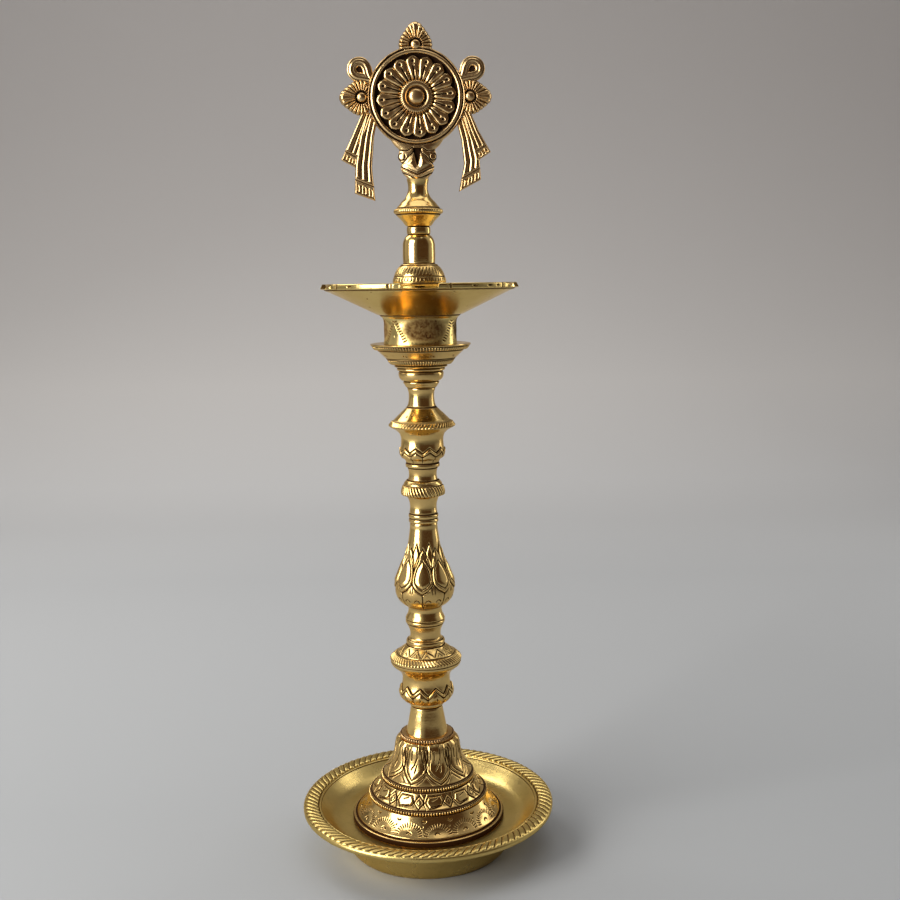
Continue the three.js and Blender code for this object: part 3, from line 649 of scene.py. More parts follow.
# Lower stem. One casting turned to a plain cone, a ring and a bowl of ten pointed petals, then a
# disc with a gadrooned edge and an engraved zigzag. It screws into the crown of the bell.
STUD_PITCH = 2.0
BOWL_PETALS = 10
LOWER_BOWL_START = -14
LOWER_BOWL_RADIUS = 14.6
lower = Turned(
    600,
    seat=plain((0.0, 0.0), (12.0, 0.0)),
    cone=bend((12.0, 0.0), (11.9, 0.4), (10.9, 4.5), (10.0, 9.5), (9.2, 13.8), (8.9, 15.8), step=0.8),
    ring=bend((8.9, 15.8), (9.5, 16.3), (9.9, 17.4), (9.8, 18.6), (9.4, 19.1)),
    bowl=bend((9.4, 19.1), (11.0, 19.7), (13.2, 21.4), (14.4, 23.8), (14.5, 26.0), (13.9, 28.4),
              (13.5, 31.0), (13.5, 33.4), (14.1, 35.4)),
    flare=bend((14.1, 35.4), (15.6, 37.4), (18.0, 39.3), (19.6, 40.9), (20.0, 42.0),
               (20.1, 43.2), step=0.5),
    rim=bend((20.1, 43.2), (19.9, 43.9), (18.3, 45.5), (16.4, 47.2)),
    cap=bend((16.4, 47.2), (13.6, 49.6), (11.2, 51.6), (10.6, 52.3), (10.3, 52.6)),
    socket=plain((10.3, 52.6), (5.3, 52.6), (5.3, 39.6), (0.0, 39.6)),
)
lower.groove("ring", 15.95, 19.05)
lower.at("bowl", BOWL_PETALS, LOWER_BOWL_START, hand=0.1)
half = math.pi / BOWL_PETALS * LOWER_BOWL_RADIUS
petal = [(-half, 0.5), (-half, 9.0), (0, 13.0), (half, 9.0), (half, 0.5)]
petal_face = [(-half + 0.5, 1.6), (-half + 0.5, 6.4), (0, 10.0), (half - 0.5, 6.4), (half - 0.5, 1.6)]
lower.leaf(petal, 0.7, 0.8)
lower.leaf(petal_face, 1.4, 0.45)
lower.line(mirrored([[(0, 13.0), (half, 9.0)]]), 1.0, 0.5)
lower.line(mirrored([[(0, 10.6), (half, 6.5), (half, 1.4)]]), 0.85, 0.5)
lower.line([[(0, 7.4), (0.3, 6.4)], arc((0, 3.0), 1.3, 30, 150, 4)], 0.75, 0.3, 0.8)
lower.groove("bowl", 19.5, width=0.8)
lower.groove("flare", 42.4, width=0.8, depth=0.3)
RIM_GADROONS = 64
lower.carve("rim", RIM_GADROONS, 0.2, 5.1, 0.5, lean=-1.2)
lower.groove("cap", 47.1, 52.0, width=0.8)
ZIGZAGS = 13
ZIGZAGS_START = 4
ZIGZAGS_RADIUS = 14.0
lower.at("cap", ZIGZAGS, ZIGZAGS_START, hand=0.3)
half = math.pi / ZIGZAGS * ZIGZAGS_RADIUS
lower.line(mirrored([[(0, 6.2), (half * 1.04, 1.1)]]), 0.7, 0.35)
lower.line(mirrored([[(0.1, 3.1), (half * 0.42, 1.3)]]), 0.6, 0.25, 0.8)
show(lower, "lower_stem", polished, "polished_brass", "lower_section")
threaded("lower_stem_stud", "lower_section", STUD_PITCH)

# Middle stem. A ring and a plain neck with a double bead carry a tall vase wrapped in long hanging
# petals, which runs out into a slender neck. It screws on the lower stem.
VASE_PETALS = 8
VASE_START = -4.5
VASE_RADIUS = 16.4
middle = Turned(
    440,
    seat=plain((0.0, 0.0), (10.3, 0.0)),
    ring=bend((10.3, 0.0), (10.8, 0.3), (10.9, 0.9), (10.7, 2.0), (10.1, 2.7)),
    neck=bend((10.1, 2.7), (8.9, 3.2), (8.6, 4.9), (8.8, 7.4), (9.6, 9.6), (10.6, 11.6), step=0.5),
    bead=bend((10.6, 11.6), (11.0, 12.4), (11.0, 13.4), (10.6, 14.0)),
    waist=bend((10.6, 14.0), (11.1, 14.5), (10.7, 15.6), (9.8, 17.4), (9.4, 19.4), (9.6, 20.9),
               (10.3, 21.9)),
    vase=bend((10.3, 21.9), (12.6, 23.4), (15.0, 26.0), (16.4, 29.4), (16.6, 32.4), (16.2, 35.6),
              (14.4, 40.4), (12.4, 45.4), (10.4, 51.0), (9.0, 57.4), (8.1, 63.4), step=0.42),
    top=bend((8.1, 63.4), (7.7, 66.4), (7.5, 69.4), (7.4, 69.6), step=0.6),
    socket=plain((7.4, 69.6), (4.3, 69.6), (4.3, 57.6), (0.0, 57.6)),
)
middle.groove("ring", 2.75, width=0.8, depth=0.3)
middle.groove("bead", 11.6, 14.05)
middle.groove("waist", 21.9)
middle.at("vase", VASE_PETALS, VASE_START, hand=0.12)
half = math.pi / VASE_PETALS * VASE_RADIUS
hanging = mirrored([[(0, 12.2), (3.6, 14.5), (5.9, 17.2), (6.1, 19.8), (5.5, 23.2), (4.4, 27.6), (3.2, 31.4),
                     (1.8, 35.0), (0, 38.0)]])
hanging_fold = mirrored([[(0, 15.1), (2.4, 16.6), (4.1, 18.5), (4.4, 20.3), (3.8, 23.8), (2.6, 27.4),
                          (0, 31.2)]])
middle.leaf(hanging[0] + hanging[1][-2:0:-1], 1.0, 0.6)
middle.leaf(hanging_fold[0] + hanging_fold[1][-2:0:-1], 2.2, 0.5)
middle.line(hanging, 1.0, 0.55)
middle.line(hanging_fold, 0.85, 0.45)
middle.at("vase", VASE_PETALS, VASE_START + 180 / VASE_PETALS, hand=0.12)
behind = [(0, 24.5), (1.5, 28.5), (2.3, 32.0), (1.8, 36.0), (0, 40.5), (-1.8, 36.0), (-2.3, 32.0),
          (-1.5, 28.5)]
middle.leaf(behind, 1.0, 0.45)
middle.line([behind + behind[:1]], 0.85, 0.45)
middle.line(mirrored([[(0.7, 12.6), (0.9, 16.0)]]), 0.7, 0.35)
middle.at("vase", VASE_PETALS, VASE_START, hand=0.12)
middle.line([[(0, 0.8), (0, 12.4)]], 0.9, 0.5)
middle.line(mirrored([arc((half * 0.5, 7.4), 1.4, 0, 180, 6)]), 0.75, 0.3)
show(middle, "middle_stem", polished, "polished_brass", "middle_section")
threaded("middle_stem_stud", "middle_section", STUD_PITCH)

# Upper stem. A double ring, a gadrooned knob, a petal bowl and a disc with a rope edge, ending in
# the slimmest neck of the lamp. It screws on the middle stem.
upper = Turned(
    500,
    seat=plain((0.0, 0.0), (7.8, 0.0)),
    rings=bend((7.8, 0.0), (8.2, 0.4), (8.3, 1.3), (8.0, 2.3), (8.3, 3.4), (8.2, 4.6), (7.9, 5.0)),
    neck=bend((7.9, 5.0), (7.6, 6.6), (7.4, 9.0), (7.7, 11.4), (8.4, 13.4), (9.0, 14.7), step=0.8),
    knob=bend((9.0, 14.7), (10.6, 15.3), (11.6, 16.0), (11.8, 16.9), (11.65, 18.3), (11.2, 19.9),
              (10.9, 21.1)),
    flange=bend((10.9, 21.1), (10.8, 21.6), (10.1, 22.8), (9.2, 23.8), (8.2, 24.4)),
    waist=bend((8.2, 24.4), (7.8, 25.6), (7.7, 27.6), (8.0, 29.6), (8.5, 30.8), step=0.7),
    ring=bend((8.5, 30.8), (9.3, 31.4), (9.5, 32.4), (9.4, 33.5)),
    bowl=bend((9.4, 33.5), (9.3, 34.2), (10.0, 35.8), (11.2, 37.8), (12.1, 39.6), (12.2, 41.2),
              (11.9, 43.0),
              (11.7, 45.4), (11.8, 47.8), (12.5, 50.0), step=0.4),
    flare=bend((12.5, 50.0), (14.0, 51.5), (16.4, 53.0), (17.7, 53.7), step=0.5),
    rope=bend((17.7, 53.7), (17.9, 54.2), (17.2, 55.3), (16.2, 56.8), step=0.32),
    cap=bend((16.2, 56.8), (15.6, 57.4), (12.1, 60.9), (9.2, 63.7), (8.3, 64.7), step=0.6),
    slim=bend((8.3, 64.7), (7.7, 65.6), (7.1, 68.0), (6.95, 70.4), (7.1, 72.8), (7.6, 74.8),
              (7.5, 75.0), step=0.8),
    socket=plain((7.5, 75.0), (4.3, 75.0), (4.3, 65.0), (0.0, 65.0)),
)
upper.groove("rings", 2.35, 4.95, depth=0.3)
KNOB_GADROONS = 38
upper.carve("knob", KNOB_GADROONS, 2.2, 8.2, 0.5, lean=-1.3)
upper.groove("flange", 21.3, 24.1, width=0.8)
upper.groove("ring", 30.95, 33.4, width=0.85)
UPPER_BOWL_START = -16.7
UPPER_BOWL_RADIUS = 12.6
upper.at("bowl", BOWL_PETALS, UPPER_BOWL_START, hand=0.1)
half = math.pi / BOWL_PETALS * UPPER_BOWL_RADIUS
petal = [(-half, 2.6), (-half, 7.2), (0, 10.0), (half, 7.2), (half, 2.6)]
petal_face = [(-half + 0.4, 3.0), (-half + 0.4, 4.6), (0, 7.2), (half - 0.4, 4.6), (half - 0.4, 3.0)]
upper.leaf(petal, 0.7, 0.6)
upper.leaf(petal_face, 1.2, 0.35)
upper.line(mirrored([[(0, 10.0), (half, 7.2)]]), 0.95, 0.5)
upper.line(mirrored([[(0, 7.6), (3.7, 4.9), (3.2, 2.8), (3.05, 1.2)]]), 0.9, 0.5)
upper.groove("bowl", 33.9, width=0.8, depth=0.3)
ROPE_STRANDS = 60
upper.carve("rope", ROPE_STRANDS, 0.1, 3.8, 0.65, lean=1.5)
upper.groove("cap", 57.1, 64.5)
upper.shade("cap", 57.4, 63.9, 0.05)
upper.at("cap", 7, 12)
upper.line([[(0, 4.4), (0.4, 4.7)], [(3.2, 6.4), (3.5, 6.2)]], 0.9, 0.35)
show(upper, "upper_stem", polished, "polished_brass", "upper_section")
threaded("upper_stem_stud", "upper_section", STUD_PITCH)

# Saucer capital. Stacked collars that step out to a milled lip, on which the dish stands. It is
# fixed for good on the neck of the upper stem.
saucer_foot = foot_of("saucer_capital")
saucer = Turned(
    432,
    seat=plain((0.0, 0.0), (7.8, 0.0)),
    foot=bend((7.8, 0.0), (8.4, 0.5), (9.2, 1.8), (9.9, 3.2), (9.6, 3.7)),
    collar=bend((9.6, 3.7), (10.6, 4.2), (11.9, 5.6), (12.3, 7.0), (12.3, 8.6), (11.9, 9.3)),
    steps=bend((11.9, 9.3), (12.9, 9.8), (13.3, 10.4), (13.1, 11.0), (14.0, 11.5), (14.6, 12.1),
               (14.3, 12.7), (15.2, 13.0)),
    milled=bend((15.2, 13.0), (17.0, 14.5), (19.0, 16.0)),
    band=bend((19.0, 16.0), (19.4, 16.6), (21.6, 18.7), (23.9, 20.9)),
    lip=bend((23.9, 20.9), (24.1, 21.3), (25.6, 22.4), (27.2, 23.5), (27.5, 23.9), (27.3, 24.3)),
    top=bend((27.3, 24.3), (26.6, 24.4), (20.4, 24.4), step=0.8),
    socket=plain((20.4, 24.4), (5.3, 24.4), (5.3, 11.4), (0.0, 11.4)),
)
saucer.groove("foot", 0.2, width=0.6, depth=0.2)
saucer.groove("collar", 3.75, 9.2, width=0.8)
saucer.groove("steps", 11.05, 12.7, width=0.7, depth=0.3)
# Painted shade on the milled band and the lip, behind their teeth.
saucer.shade("milled", 13.4, 15.8, 0.75)
saucer.groove("band", 16.3, 20.8, width=0.8)
saucer.shade("lip", 21.6, 23.4, 0.75)
saucer.at("band", 9, 14)
saucer.line([[(0, 3.0), (0.4, 3.6)], [(1.4, 3.2), (1.8, 2.4)]], 0.8, 0.3)
show(saucer, "saucer_capital", antique, "antique_brass", "upper_section")
for name, count, radius, height, length in (
    ("saucer_milling", 76, 17.0, 14.4, 3.2),
    ("saucer_lip_milling", 104, 25.6, 22.3, 2.6),
):
    teeth = ring_of(name, lobe(length, 1.2, 0.65, 0, 130, 0.6), count, radius, saucer_foot + height, antique)
    piece(name, teeth, antique, "antique_brass", "upper_section")
threaded("capital_stud", "upper_section", STUD_PITCH)

# Oil dish. Cast and turned: a punched drum, a shallow cone and a raised rim band that is filed down
# at five lips for the wicks. A boss in the middle carries the hub above the oil.
LIPS = 5
LIP_HALF = 10.4
LIP_DROP = 2.4
LIP_REACH = 0.9
dish_foot = foot_of("oil_dish")
dish_brass = brass("dish brass", (0.73, 0.55, 0.21), (0.58, 0.41, 0.14), (0.09, 0.04, 0.012), 0.17, 0.3)
dish = Turned(
    540,
    seat=plain((0.0, 0.0), (20.2, 0.0)),
    drum=bend((20.2, 0.0), (20.1, 0.4), (19.8, 1.6), (19.7, 4.0), (19.8, 8.0), (19.8, 11.6),
              (20.3, 13.6), (21.8, 15.0)),
    cone=bend((21.8, 15.0), (29.6, 18.8), (41.0, 24.3), (52.0, 29.5), step=0.8),
    rim=bend((52.0, 29.5), (52.7, 29.9), (52.8, 30.6), (52.8, 31.8), (52.5, 32.3), (51.8, 32.4),
             (50.9, 32.3), (50.6, 31.8), (50.4, 31.0), step=0.25),
    bowl=bend((50.4, 31.0), (49.6, 30.2), (41.0, 26.2), (29.0, 20.8), (22.4, 18.0), (18.4, 17.2),
              (14.6, 17.2), step=0.9),
    boss=plain((14.6, 17.2), (14.6, 31.0), (5.3, 31.0), (5.3, 19.0), (0.0, 19.0)),
)
turn = (dish.angle + math.pi / LIPS) % (2 * math.pi / LIPS) - math.pi / LIPS
opening = smooth((LIP_HALF - np.abs(np.degrees(turn))) / 0.9 + 0.5)


def filed(points):
    """Files the rim down and draws it out at each lip."""
    height = points[..., 2]
    over = np.maximum(height - (32.4 - LIP_DROP), 0) * opening
    radius = np.hypot(points[..., 0], points[..., 1])
    near = smooth((radius - 48.5) / 3.0) * opening
    out = 1 + near * LIP_REACH / np.maximum(radius, 1)
    moved = np.stack([points[..., 0] * out, points[..., 1] * out, height - over * 0.98], axis=-1)
    return moved + (0, 0, dish_foot)


dish.groove("cone", 15.2, depth=0.3)
dish.groove("cone", 29.1, width=0.8, depth=0.3)
dish.at("cone", 7, 10, hand=0.5)
pits = [[(0, 22.0), (0.2, 22.2)], [(9.0, 29.6), (9.2, 29.8)], [(-7.0, 12.5), (-6.9, 12.6)]]
dish.line(pits, 0.9, 0.2, 0.9)
dashes = []
for share in np.linspace(0.03, 0.97, 9):
    x, y = 0.5 + share * 6.4, 12.6 - share * 11.0
    dashes.append([(x - 0.9, y - 0.35), (x + 0.9, y + 0.35)])
for place in (-44, 59, 148, -128):
    dish.at("drum", 1, place)
    dish.line(mirrored(dashes) + [[(0, 4.6), (0.1, 4.8)]], 0.75, 0.4)
for place in (13, 104, -170, -85):
    dish.at("drum", 1, place)
    crescent = arc((0, 4.6), 1.1, 150, 390, 7)
    dish.line([crescent, [(-4.2, 9.4), (-3.4, 9.9)], [(3.6, 12.6), (4.4, 12.2)]], 0.75, 0.35)
    dish.at("drum", 1, place - 6)
    dish.cut("drum", smooth(1.9 - np.hypot(dish.u / 9.0, (dish.v - 8.0) / 5.0)), 0.0, 0.38)
dish.at("rim", LIPS, 0)
notch = [[(x, 0.6), (x, 3.4)] for x in (-14.4, 14.4, -15.9, 15.9, -33.6, 33.6)]
dish.line(notch, 0.9, 0.45)
dish.at("rim", 1, 0)
chips = []
for degrees, wide in (
    (32, 0.9), (43.5, 1.9), (50, 0.8), (-43, 1.7), (-65, 2.2), (76, 1.4), (117, 1.2), (-121, 1.8), (171, 1.5),
):
    x = math.radians(degrees) * 52.5
    chips.append([(x - wide / 2, 1.9), (x + wide / 2, 2.0)])
dish.line(chips, 1.5, 0.8)
show(dish, "oil_dish", dish_brass, "satin_brass", "dish_section", filed)
threaded("dish_stud", "dish_section", STUD_PITCH)

# Hub. A domed flange and a plain bottle-shaped socket, turned from one casting. It screws on the
# boss of the dish and takes the finial.
hub = Turned(
    420,
    seat=plain((0.0, 0.0), (15.8, 0.0)),
    flange=bend((15.8, 0.0), (16.0, 0.3), (16.0, 0.8), (15.2, 1.2), (14.4, 1.6)),
    dome=bend((14.4, 1.6), (14.5, 2.6), (14.0, 4.6), (13.0, 7.2), (11.5, 9.6), (10.3, 10.9), (9.7, 11.5)),
    neck=bend((9.7, 11.5), (8.9, 11.8), (8.6, 12.2)),
    bottle=bend((8.6, 12.2), (8.7, 14.0), (8.7, 20.0), (8.6, 22.6), (8.0, 24.6), (7.0, 26.2),
                (6.2, 27.0), step=0.5),
    socket=plain((6.2, 27.0), (6.0, 27.1), (3.3, 27.1), (3.3, 16.1), (0.0, 16.1)),
)
hub.groove("flange", 1.3, width=0.7, depth=0.3)
hub.groove("dome", 4.9, 10.9, width=0.7, depth=0.25)
hub.groove("neck", 11.9, width=0.8, depth=0.3)
DASHES = 42
hub.at("dome", DASHES, hand=0.08)
hub.line([[(0, 1.0), (0.15, 2.3)]], 0.7, 0.35)
hub.line([[(-0.4, 5.0), (0.5, 8.6)]], 0.75, 0.4)
show(hub, "hub", polished, "polished_brass", "hub_section")
threaded("hub_stud", "hub_section", STUD_PITCH)

# Finial collar and baluster. A short loose ring, then a turned double cone that rises to a slim
# neck; the wheel's tenon is brazed in its top.
ring = Turned(
    120,
    side=bend((5.9, 0.0), (6.2, 0.3), (6.3, 1.0), (6.3, 3.3), (6.2, 4.0), (5.9, 4.3)),
    bore=plain((5.9, 4.3), (3.3, 4.3), (3.3, 0.0)),
)
ring.groove("side", 0.15, 4.15, width=0.6, depth=0.25)
show(ring, "finial_collar", polished, "polished_brass", "finial_section")

baluster = Turned(
    420,
    seat=plain((0.0, 0.0), (6.0, 0.0)),
    foot=bend((6.0, 0.0), (6.9, 0.6), (8.6, 2.8), (11.4, 5.6), (11.9, 6.1), step=0.6),
    band=bend((11.9, 6.1), (12.8, 7.2), (13.1, 8.0), (12.7, 9.0), (11.8, 9.9)),
    rise=bend((11.8, 9.9), (10.7, 11.0), (9.1, 13.0), (7.2, 14.9), (6.1, 16.8), (5.3, 19.2), (5.2, 21.2),
              (5.6, 23.6), (6.0, 24.9), step=0.8),
    socket=plain((6.0, 24.9), (5.8, 25.0), (2.9, 25.0), (2.9, 16.0), (0.0, 16.0)),
)
baluster.groove("band", 6.3, 9.7, width=0.8, depth=0.3)
BAND_STRANDS = 62
baluster.carve("band", BAND_STRANDS, 0.9, 3.9, 0.2, lean=0.4, dark=0.6)
show(baluster, "finial_baluster", polished, "polished_brass", "finial_section")
FINIAL_PITCH = 1.5
threaded("finial_stud", "finial_section", FINIAL_PITCH)

# Wheel plaque. One flat casting, alike on both faces: a lotus capital, a wheel of sixteen petals
# round a corded boss, three palmettes, two ribbon loops and four pleated ribbon tails.
wheel_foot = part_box("finial_baluster")[1][2] / MM
CAPITAL_HEIGHT = 17.4
WHEEL_RADIUS = 25.9
WHEEL_PETALS = 16
WHEEL_START = 5
RIM_NICKS = 190
RING_NICKS = 46
wheel_centre = wheel_foot + CAPITAL_HEIGHT + WHEEL_RADIUS - 0.9


def face_on(points):
    """Stands a turned disc upright, its top towards the front, about the wheel's centre."""
    return np.stack([points[..., 0], -points[..., 2], points[..., 1] + wheel_centre], axis=-1)


front_boss = bend((4.6, 2.2), (4.3, 2.6), (4.1, 3.4), (3.6, 4.2), (2.7, 4.8), (1.4, 5.1),
                  (0.0, 5.2), step=0.3)
front_ring = bend((8.7, 1.2), (8.6, 2.4), (7.9, 3.1), (6.8, 3.3), (5.8, 3.0), (5.1, 2.2),
                  (4.6, 2.2), step=0.25)
front_petals = bend((22.0, 1.6), (21.4, 1.9), (15.0, 2.3), (10.2, 2.1), (8.7, 1.2))
front_rim = bend((WHEEL_RADIUS, 0.6), (25.8, 2.0), (25.3, 2.8), (24.6, 2.3), (24.0, 2.9), (23.1, 3.3),
                 (22.3, 2.9), (22.0, 1.6), step=0.25)
WHEEL_COLUMNS = 400
wheel = Turned(
    WHEEL_COLUMNS,
    back_boss=front_boss[::-1] * (1, -1), back_ring=front_ring[::-1] * (1, -1),
    back_petals=front_petals[::-1] * (1, -1), back_rim=front_rim[::-1] * (1, -1),
    front_rim=front_rim, front_petals=front_petals, front_ring=front_ring, front_boss=front_boss,
)


def motifs(run, count, phase=0.0):
    """Takes up the wheel's motifs, with v as the distance from its centre."""
    wheel.at(run, count, phase)
    wheel.v = wheel.rows[wheel.spans[run], 0][:, None] + np.zeros(WHEEL_COLUMNS)


def circle(radius, width, depth):
    """Cuts a ring round the wheel's centre."""
    wheel.cut(wheel.run, smooth(1 - 2 * np.abs(wheel.v - radius) / width), depth)


ground = [(-6, 8.6), (-6, 21.9), (6, 21.9), (6, 8.6)]
spade = [(-1.65, 8.5), (-3.0, 14.6), (-3.7, 17.4), (-3.8, 19.4), (-2.6, 20.7), (0, 22.0),
         (2.6, 20.7), (3.8, 19.4), (3.7, 17.4), (3.0, 14.6), (1.65, 8.5)]
chased = smooth((np.abs(wheel.angle) - 2.3) / 0.2) + smooth((0.95 - np.abs(wheel.angle + 0.5)) / 0.2)
for side in ("front", "back"):
    motifs(side + "_petals", WHEEL_PETALS, WHEEL_START)
    wheel.cut(wheel.run, inside(wheel.u, wheel.v, ground, 0.3), 1.6)
    wheel.leaf(spade, 0.4, 1.5)
    wheel.leaf(spade, 1.3, 0.5)
    wheel.line([[(0, 9.2), (0, 16.0)]], 1.25, 1.0)
    wheel.line([[(0, 18.1), (0, 18.4)]], 2.3, 0.9)
    motifs(side + "_rim", RIM_NICKS)
    circle(24.6, 0.95, 0.3)
    circle(22.0, 0.7, 0.1)
    nicks = strokes(wheel.u, wheel.v, [[(0, 24.7), (0, 25.6)]], 0.4)
    wheel.cut(wheel.run, nicks * chased, 0.2, 0.8)
    motifs(side + "_ring", RING_NICKS)
    wheel.line([[(0, 7.9), (0.1, 8.7)]], 0.6, 0.25, 0.8)
    circle(4.9, 0.9, 0.3)
old_brass = brass("old brass", (0.74, 0.52, 0.25), (0.46, 0.28, 0.12), (0.026, 0.012, 0.006), 0.21, 0.3)
piece("wheel_brass", wheel.skin("wheel_brass", place=face_on), old_brass, "antique_brass",
      "finial_section", "wheel_plaque")


def pillow(name, across, up, half, recess):
    """A closed flat casting: a sheet of points, its two faces half a thickness either way."""
    rows, columns = across.shape
    edge = np.zeros((rows, columns), bool)
    edge[[0, -1]] = edge[:, [0, -1]] = True
    half = np.where(edge, 0, half)
    front = np.stack([across, -half, up + wheel_centre], axis=-1).reshape(-1, 3)
    back = np.stack([across, half, up + wheel_centre], axis=-1).reshape(-1, 3)
    number = np.arange(rows * columns).reshape(rows, columns)
    behind = np.where(edge, number, number + rows * columns)

    def faces(grid, turned):
        corners = [grid[:-1, :-1], grid[:-1, 1:], grid[1:, 1:], grid[1:, :-1]]
        return np.stack(corners[::-1] if turned else corners, axis=-1).reshape(-1, 4)

    mesh = mesh_from(name, np.vstack([front, back]), np.vstack([faces(number, False), faces(behind, True)]),
                     np.concatenate([recess.ravel(), recess.ravel()]))
    with opened(mesh) as shell:
        bmesh.ops.delete(shell, geom=[v for v in shell.verts if not v.link_faces], context="VERTS")
        bmesh.ops.recalc_face_normals(shell, faces=shell.faces[:])
        if shell.calc_volume(signed=True) < 0:
            bmesh.ops.reverse_faces(shell, faces=shell.faces[:])
    return mesh


def palmette(name, centre, turn, width, reach):
    """A fan of narrow ridges round a ball, drawn out to a smooth point: a leaf on the wheel's rim."""
    spread = np.radians(np.linspace(-180, 180, 321))[None]
    share = np.linspace(0, 1, 30)[:, None]
    tip = np.exp(-((np.degrees(spread) / 31) ** 2))
    keel = smooth(1.5 - np.abs(np.degrees(spread)) / 9)
    ridge = np.maximum(np.abs(np.cos(spread * 12)) ** 0.7, keel)
    body = width / 2 * (1 - 0.1 * np.cos(spread) ** 2)
    outline = (body + tip * (reach - 0.9 * width / 2)) * (0.965 + 0.035 * ridge)
    sunk = smooth((np.abs(np.degrees(spread)) - 108) / 30)
    outline = outline * (1 - sunk) + 4.3 * sunk
    radius = share * outline
    fan = smooth((radius - 3.1) / 0.5)
    rim = smooth((1 - share) * 6) ** 0.5
    half = (0.7 + fan * (0.3 + 1.4 * ridge)) * rim + 0.15
    across, up = radius * np.sin(spread), radius * np.cos(spread)
    cos, sin = math.cos(math.radians(turn)), math.sin(math.radians(turn))
    recess = np.maximum(smooth(1.15 - ridge * 1.9) * fan, 1 - fan)
    right = centre[0] + across * cos + up * sin
    top = centre[1] - across * sin + up * cos
    return pillow(name, right, top, half, recess)


for name, turn, out, width, reach in (
    ("top", 0, 26.6, 17.8, 11.9), ("right", 90, 28.4, 18.4, 11.6), ("left", -90, 28.9, 18.8, 11.9),
):
    centre = (out * math.sin(math.radians(turn)), out * math.cos(math.radians(turn)))
    leaf = palmette("palmette_" + name, centre, turn, width, reach)
    piece("palmette_" + name, leaf, old_brass, "antique_brass", "finial_section")
    ball = Turned(48, side=bend((0.0, -3.5), (2.0, -2.8), (3.0, 0.0), (2.0, 2.8), (0.0, 3.5)))
    at = (centre[0], 0, centre[1])
    mesh = ball.skin("ball_" + name, place=lambda p, at=at: face_on(p) + at)
    piece("ball_" + name, mesh, old_brass, "antique_brass", "finial_section")


def along(points, share):
    """Places at these shares of a line's length."""
    points = np.array(points, float)
    reach = np.concatenate([[0], np.cumsum(np.hypot(*np.diff(points, axis=0).T))])
    return np.stack([np.interp(share * reach[-1], reach, points[:, i]) for i in (0, 1)], axis=-1)


LOOP_WIDTH = 5.2
loop_path = bend((23.9, 9.0), (25.2, 12.0), (26.1, 15.4), (28.2, 17.9), (31.2, 18.0), (33.4, 16.2),
                 (33.7, 13.2), (31.9, 11.0), (28.8, 10.2), (25.4, 9.6), (22.8, 8.8))
for name, side in (("right", 1), ("left", -1)):
    path = along(loop_path, np.linspace(0, 1, 90))
    heading = np.gradient(path, axis=0)
    heading /= np.linalg.norm(heading, axis=1, keepdims=True)
    spread = np.sin(np.linspace(-math.pi / 2, math.pi / 2, 25))[None]
    across = side * (path[:, :1] + spread * heading[:, 1:] * LOOP_WIDTH / 2)
    up = path[:, 1:] - spread * heading[:, :1] * LOOP_WIDTH / 2
    cord = np.abs(np.cos(spread * 3.4 + 0.5))
    half = (0.5 + 1.5 * np.sqrt(1 - spread**2) * (0.7 + 0.3 * cord)) + 0 * across
    ribbon = pillow("loop_" + name, across, up, half, smooth(1 - cord * 2.8) + 0 * across)
    piece("loop_" + name, ribbon, old_brass, "antique_brass", "finial_section")
    # A thin disc painted dark all over fills the eye of each loop: painted shade where the hole shows dark.
    eye_shade = Turned(32, side=plain((0.0, -0.5), (2.8, -0.5), (2.8, 0.5), (0.0, 0.5)))
    eye_shade.shade("side", -1, 1, 1.0)
    mesh = eye_shade.skin("loop_web_" + name, place=lambda p, side=side: face_on(p) + (side * 30.1, 0, 14.2))
    piece("loop_web_" + name, mesh, old_brass, "antique_brass", "finial_section")


def tail(name, left, right, folds, bars):
    """A pleated ribbon tail between two edges, bound with two cords near its end and fringed below."""
    share = np.linspace(0, 1, 110)
    spread = np.linspace(0, 1, 66)
    first, second = along(left, share), along(right, share)
    sheet = first[:, None] * (1 - spread)[None, :, None] + second[:, None] * spread[None, :, None]
    share, spread = share[:, None], spread[None]
    gap = np.min([np.abs(spread - fold) for fold in (-0.02, *folds, 1.02)], axis=0)
    pleat = np.sin(np.minimum(gap / 0.17, 1) * math.pi / 2) ** 0.8
    thread = np.abs(np.sin(spread * math.pi * bars)) ** 0.6
    fringe = smooth((share - 0.87) * 60) * smooth((0.965 - share) * 60)
    cords = smooth((share - 0.775) * 70) * smooth((0.875 - share) * 70)
    cord = np.abs(np.sin((share - 0.775) / 0.05 * math.pi)) ** 0.6
    lip = smooth((share - 0.955) * 60)
    ridge = pleat * (1 - cords) * (1 - fringe) * (1 - lip) + thread * fringe + cord * cords + lip
    ridge = np.clip(ridge, 0, 1)
    edge = smooth((0.5 - np.abs(spread - 0.5)) * 14) ** 0.5
    half = (0.55 + 1.05 * ridge) * (0.4 + 0.6 * edge)
    return pillow(name, sheet[..., 0], sheet[..., 1], half, smooth(1.2 - ridge * 2.2))


for name, left, right, folds, bars in (
    ("tail_left_outer", [(-28.4, -6.6), (-34.4, -19.3), (-40.6, -32.0)],
     [(-23.4, -8.0), (-28.0, -20.3), (-32.6, -36.4)], (0.42, 0.72), 5),
    ("tail_left_inner", [(-27.0, -9.0), (-30.4, -20.3), (-33.1, -34.7), (-33.8, -49.6)],
     [(-21.0, -12.0), (-22.8, -20.0), (-24.2, -36.0), (-22.8, -53.6)], (0.34, 0.68), 6),
    ("tail_right_outer", [(23.4, -8.0), (27.0, -19.0), (32.0, -33.4)],
     [(28.2, -6.6), (32.9, -17.4), (39.3, -28.6)], (0.3, 0.62), 5),
    ("tail_right_inner", [(21.0, -12.0), (23.6, -22.6), (24.9, -34.7), (22.0, -49.2)],
     [(26.4, -9.0), (29.6, -19.0), (33.2, -30.5), (33.9, -43.0)], (0.36, 0.66), 6),
):
    ribbon = tail(name, left, right, folds, bars)
    piece(name, ribbon, old_brass, "antique_brass", "finial_section")

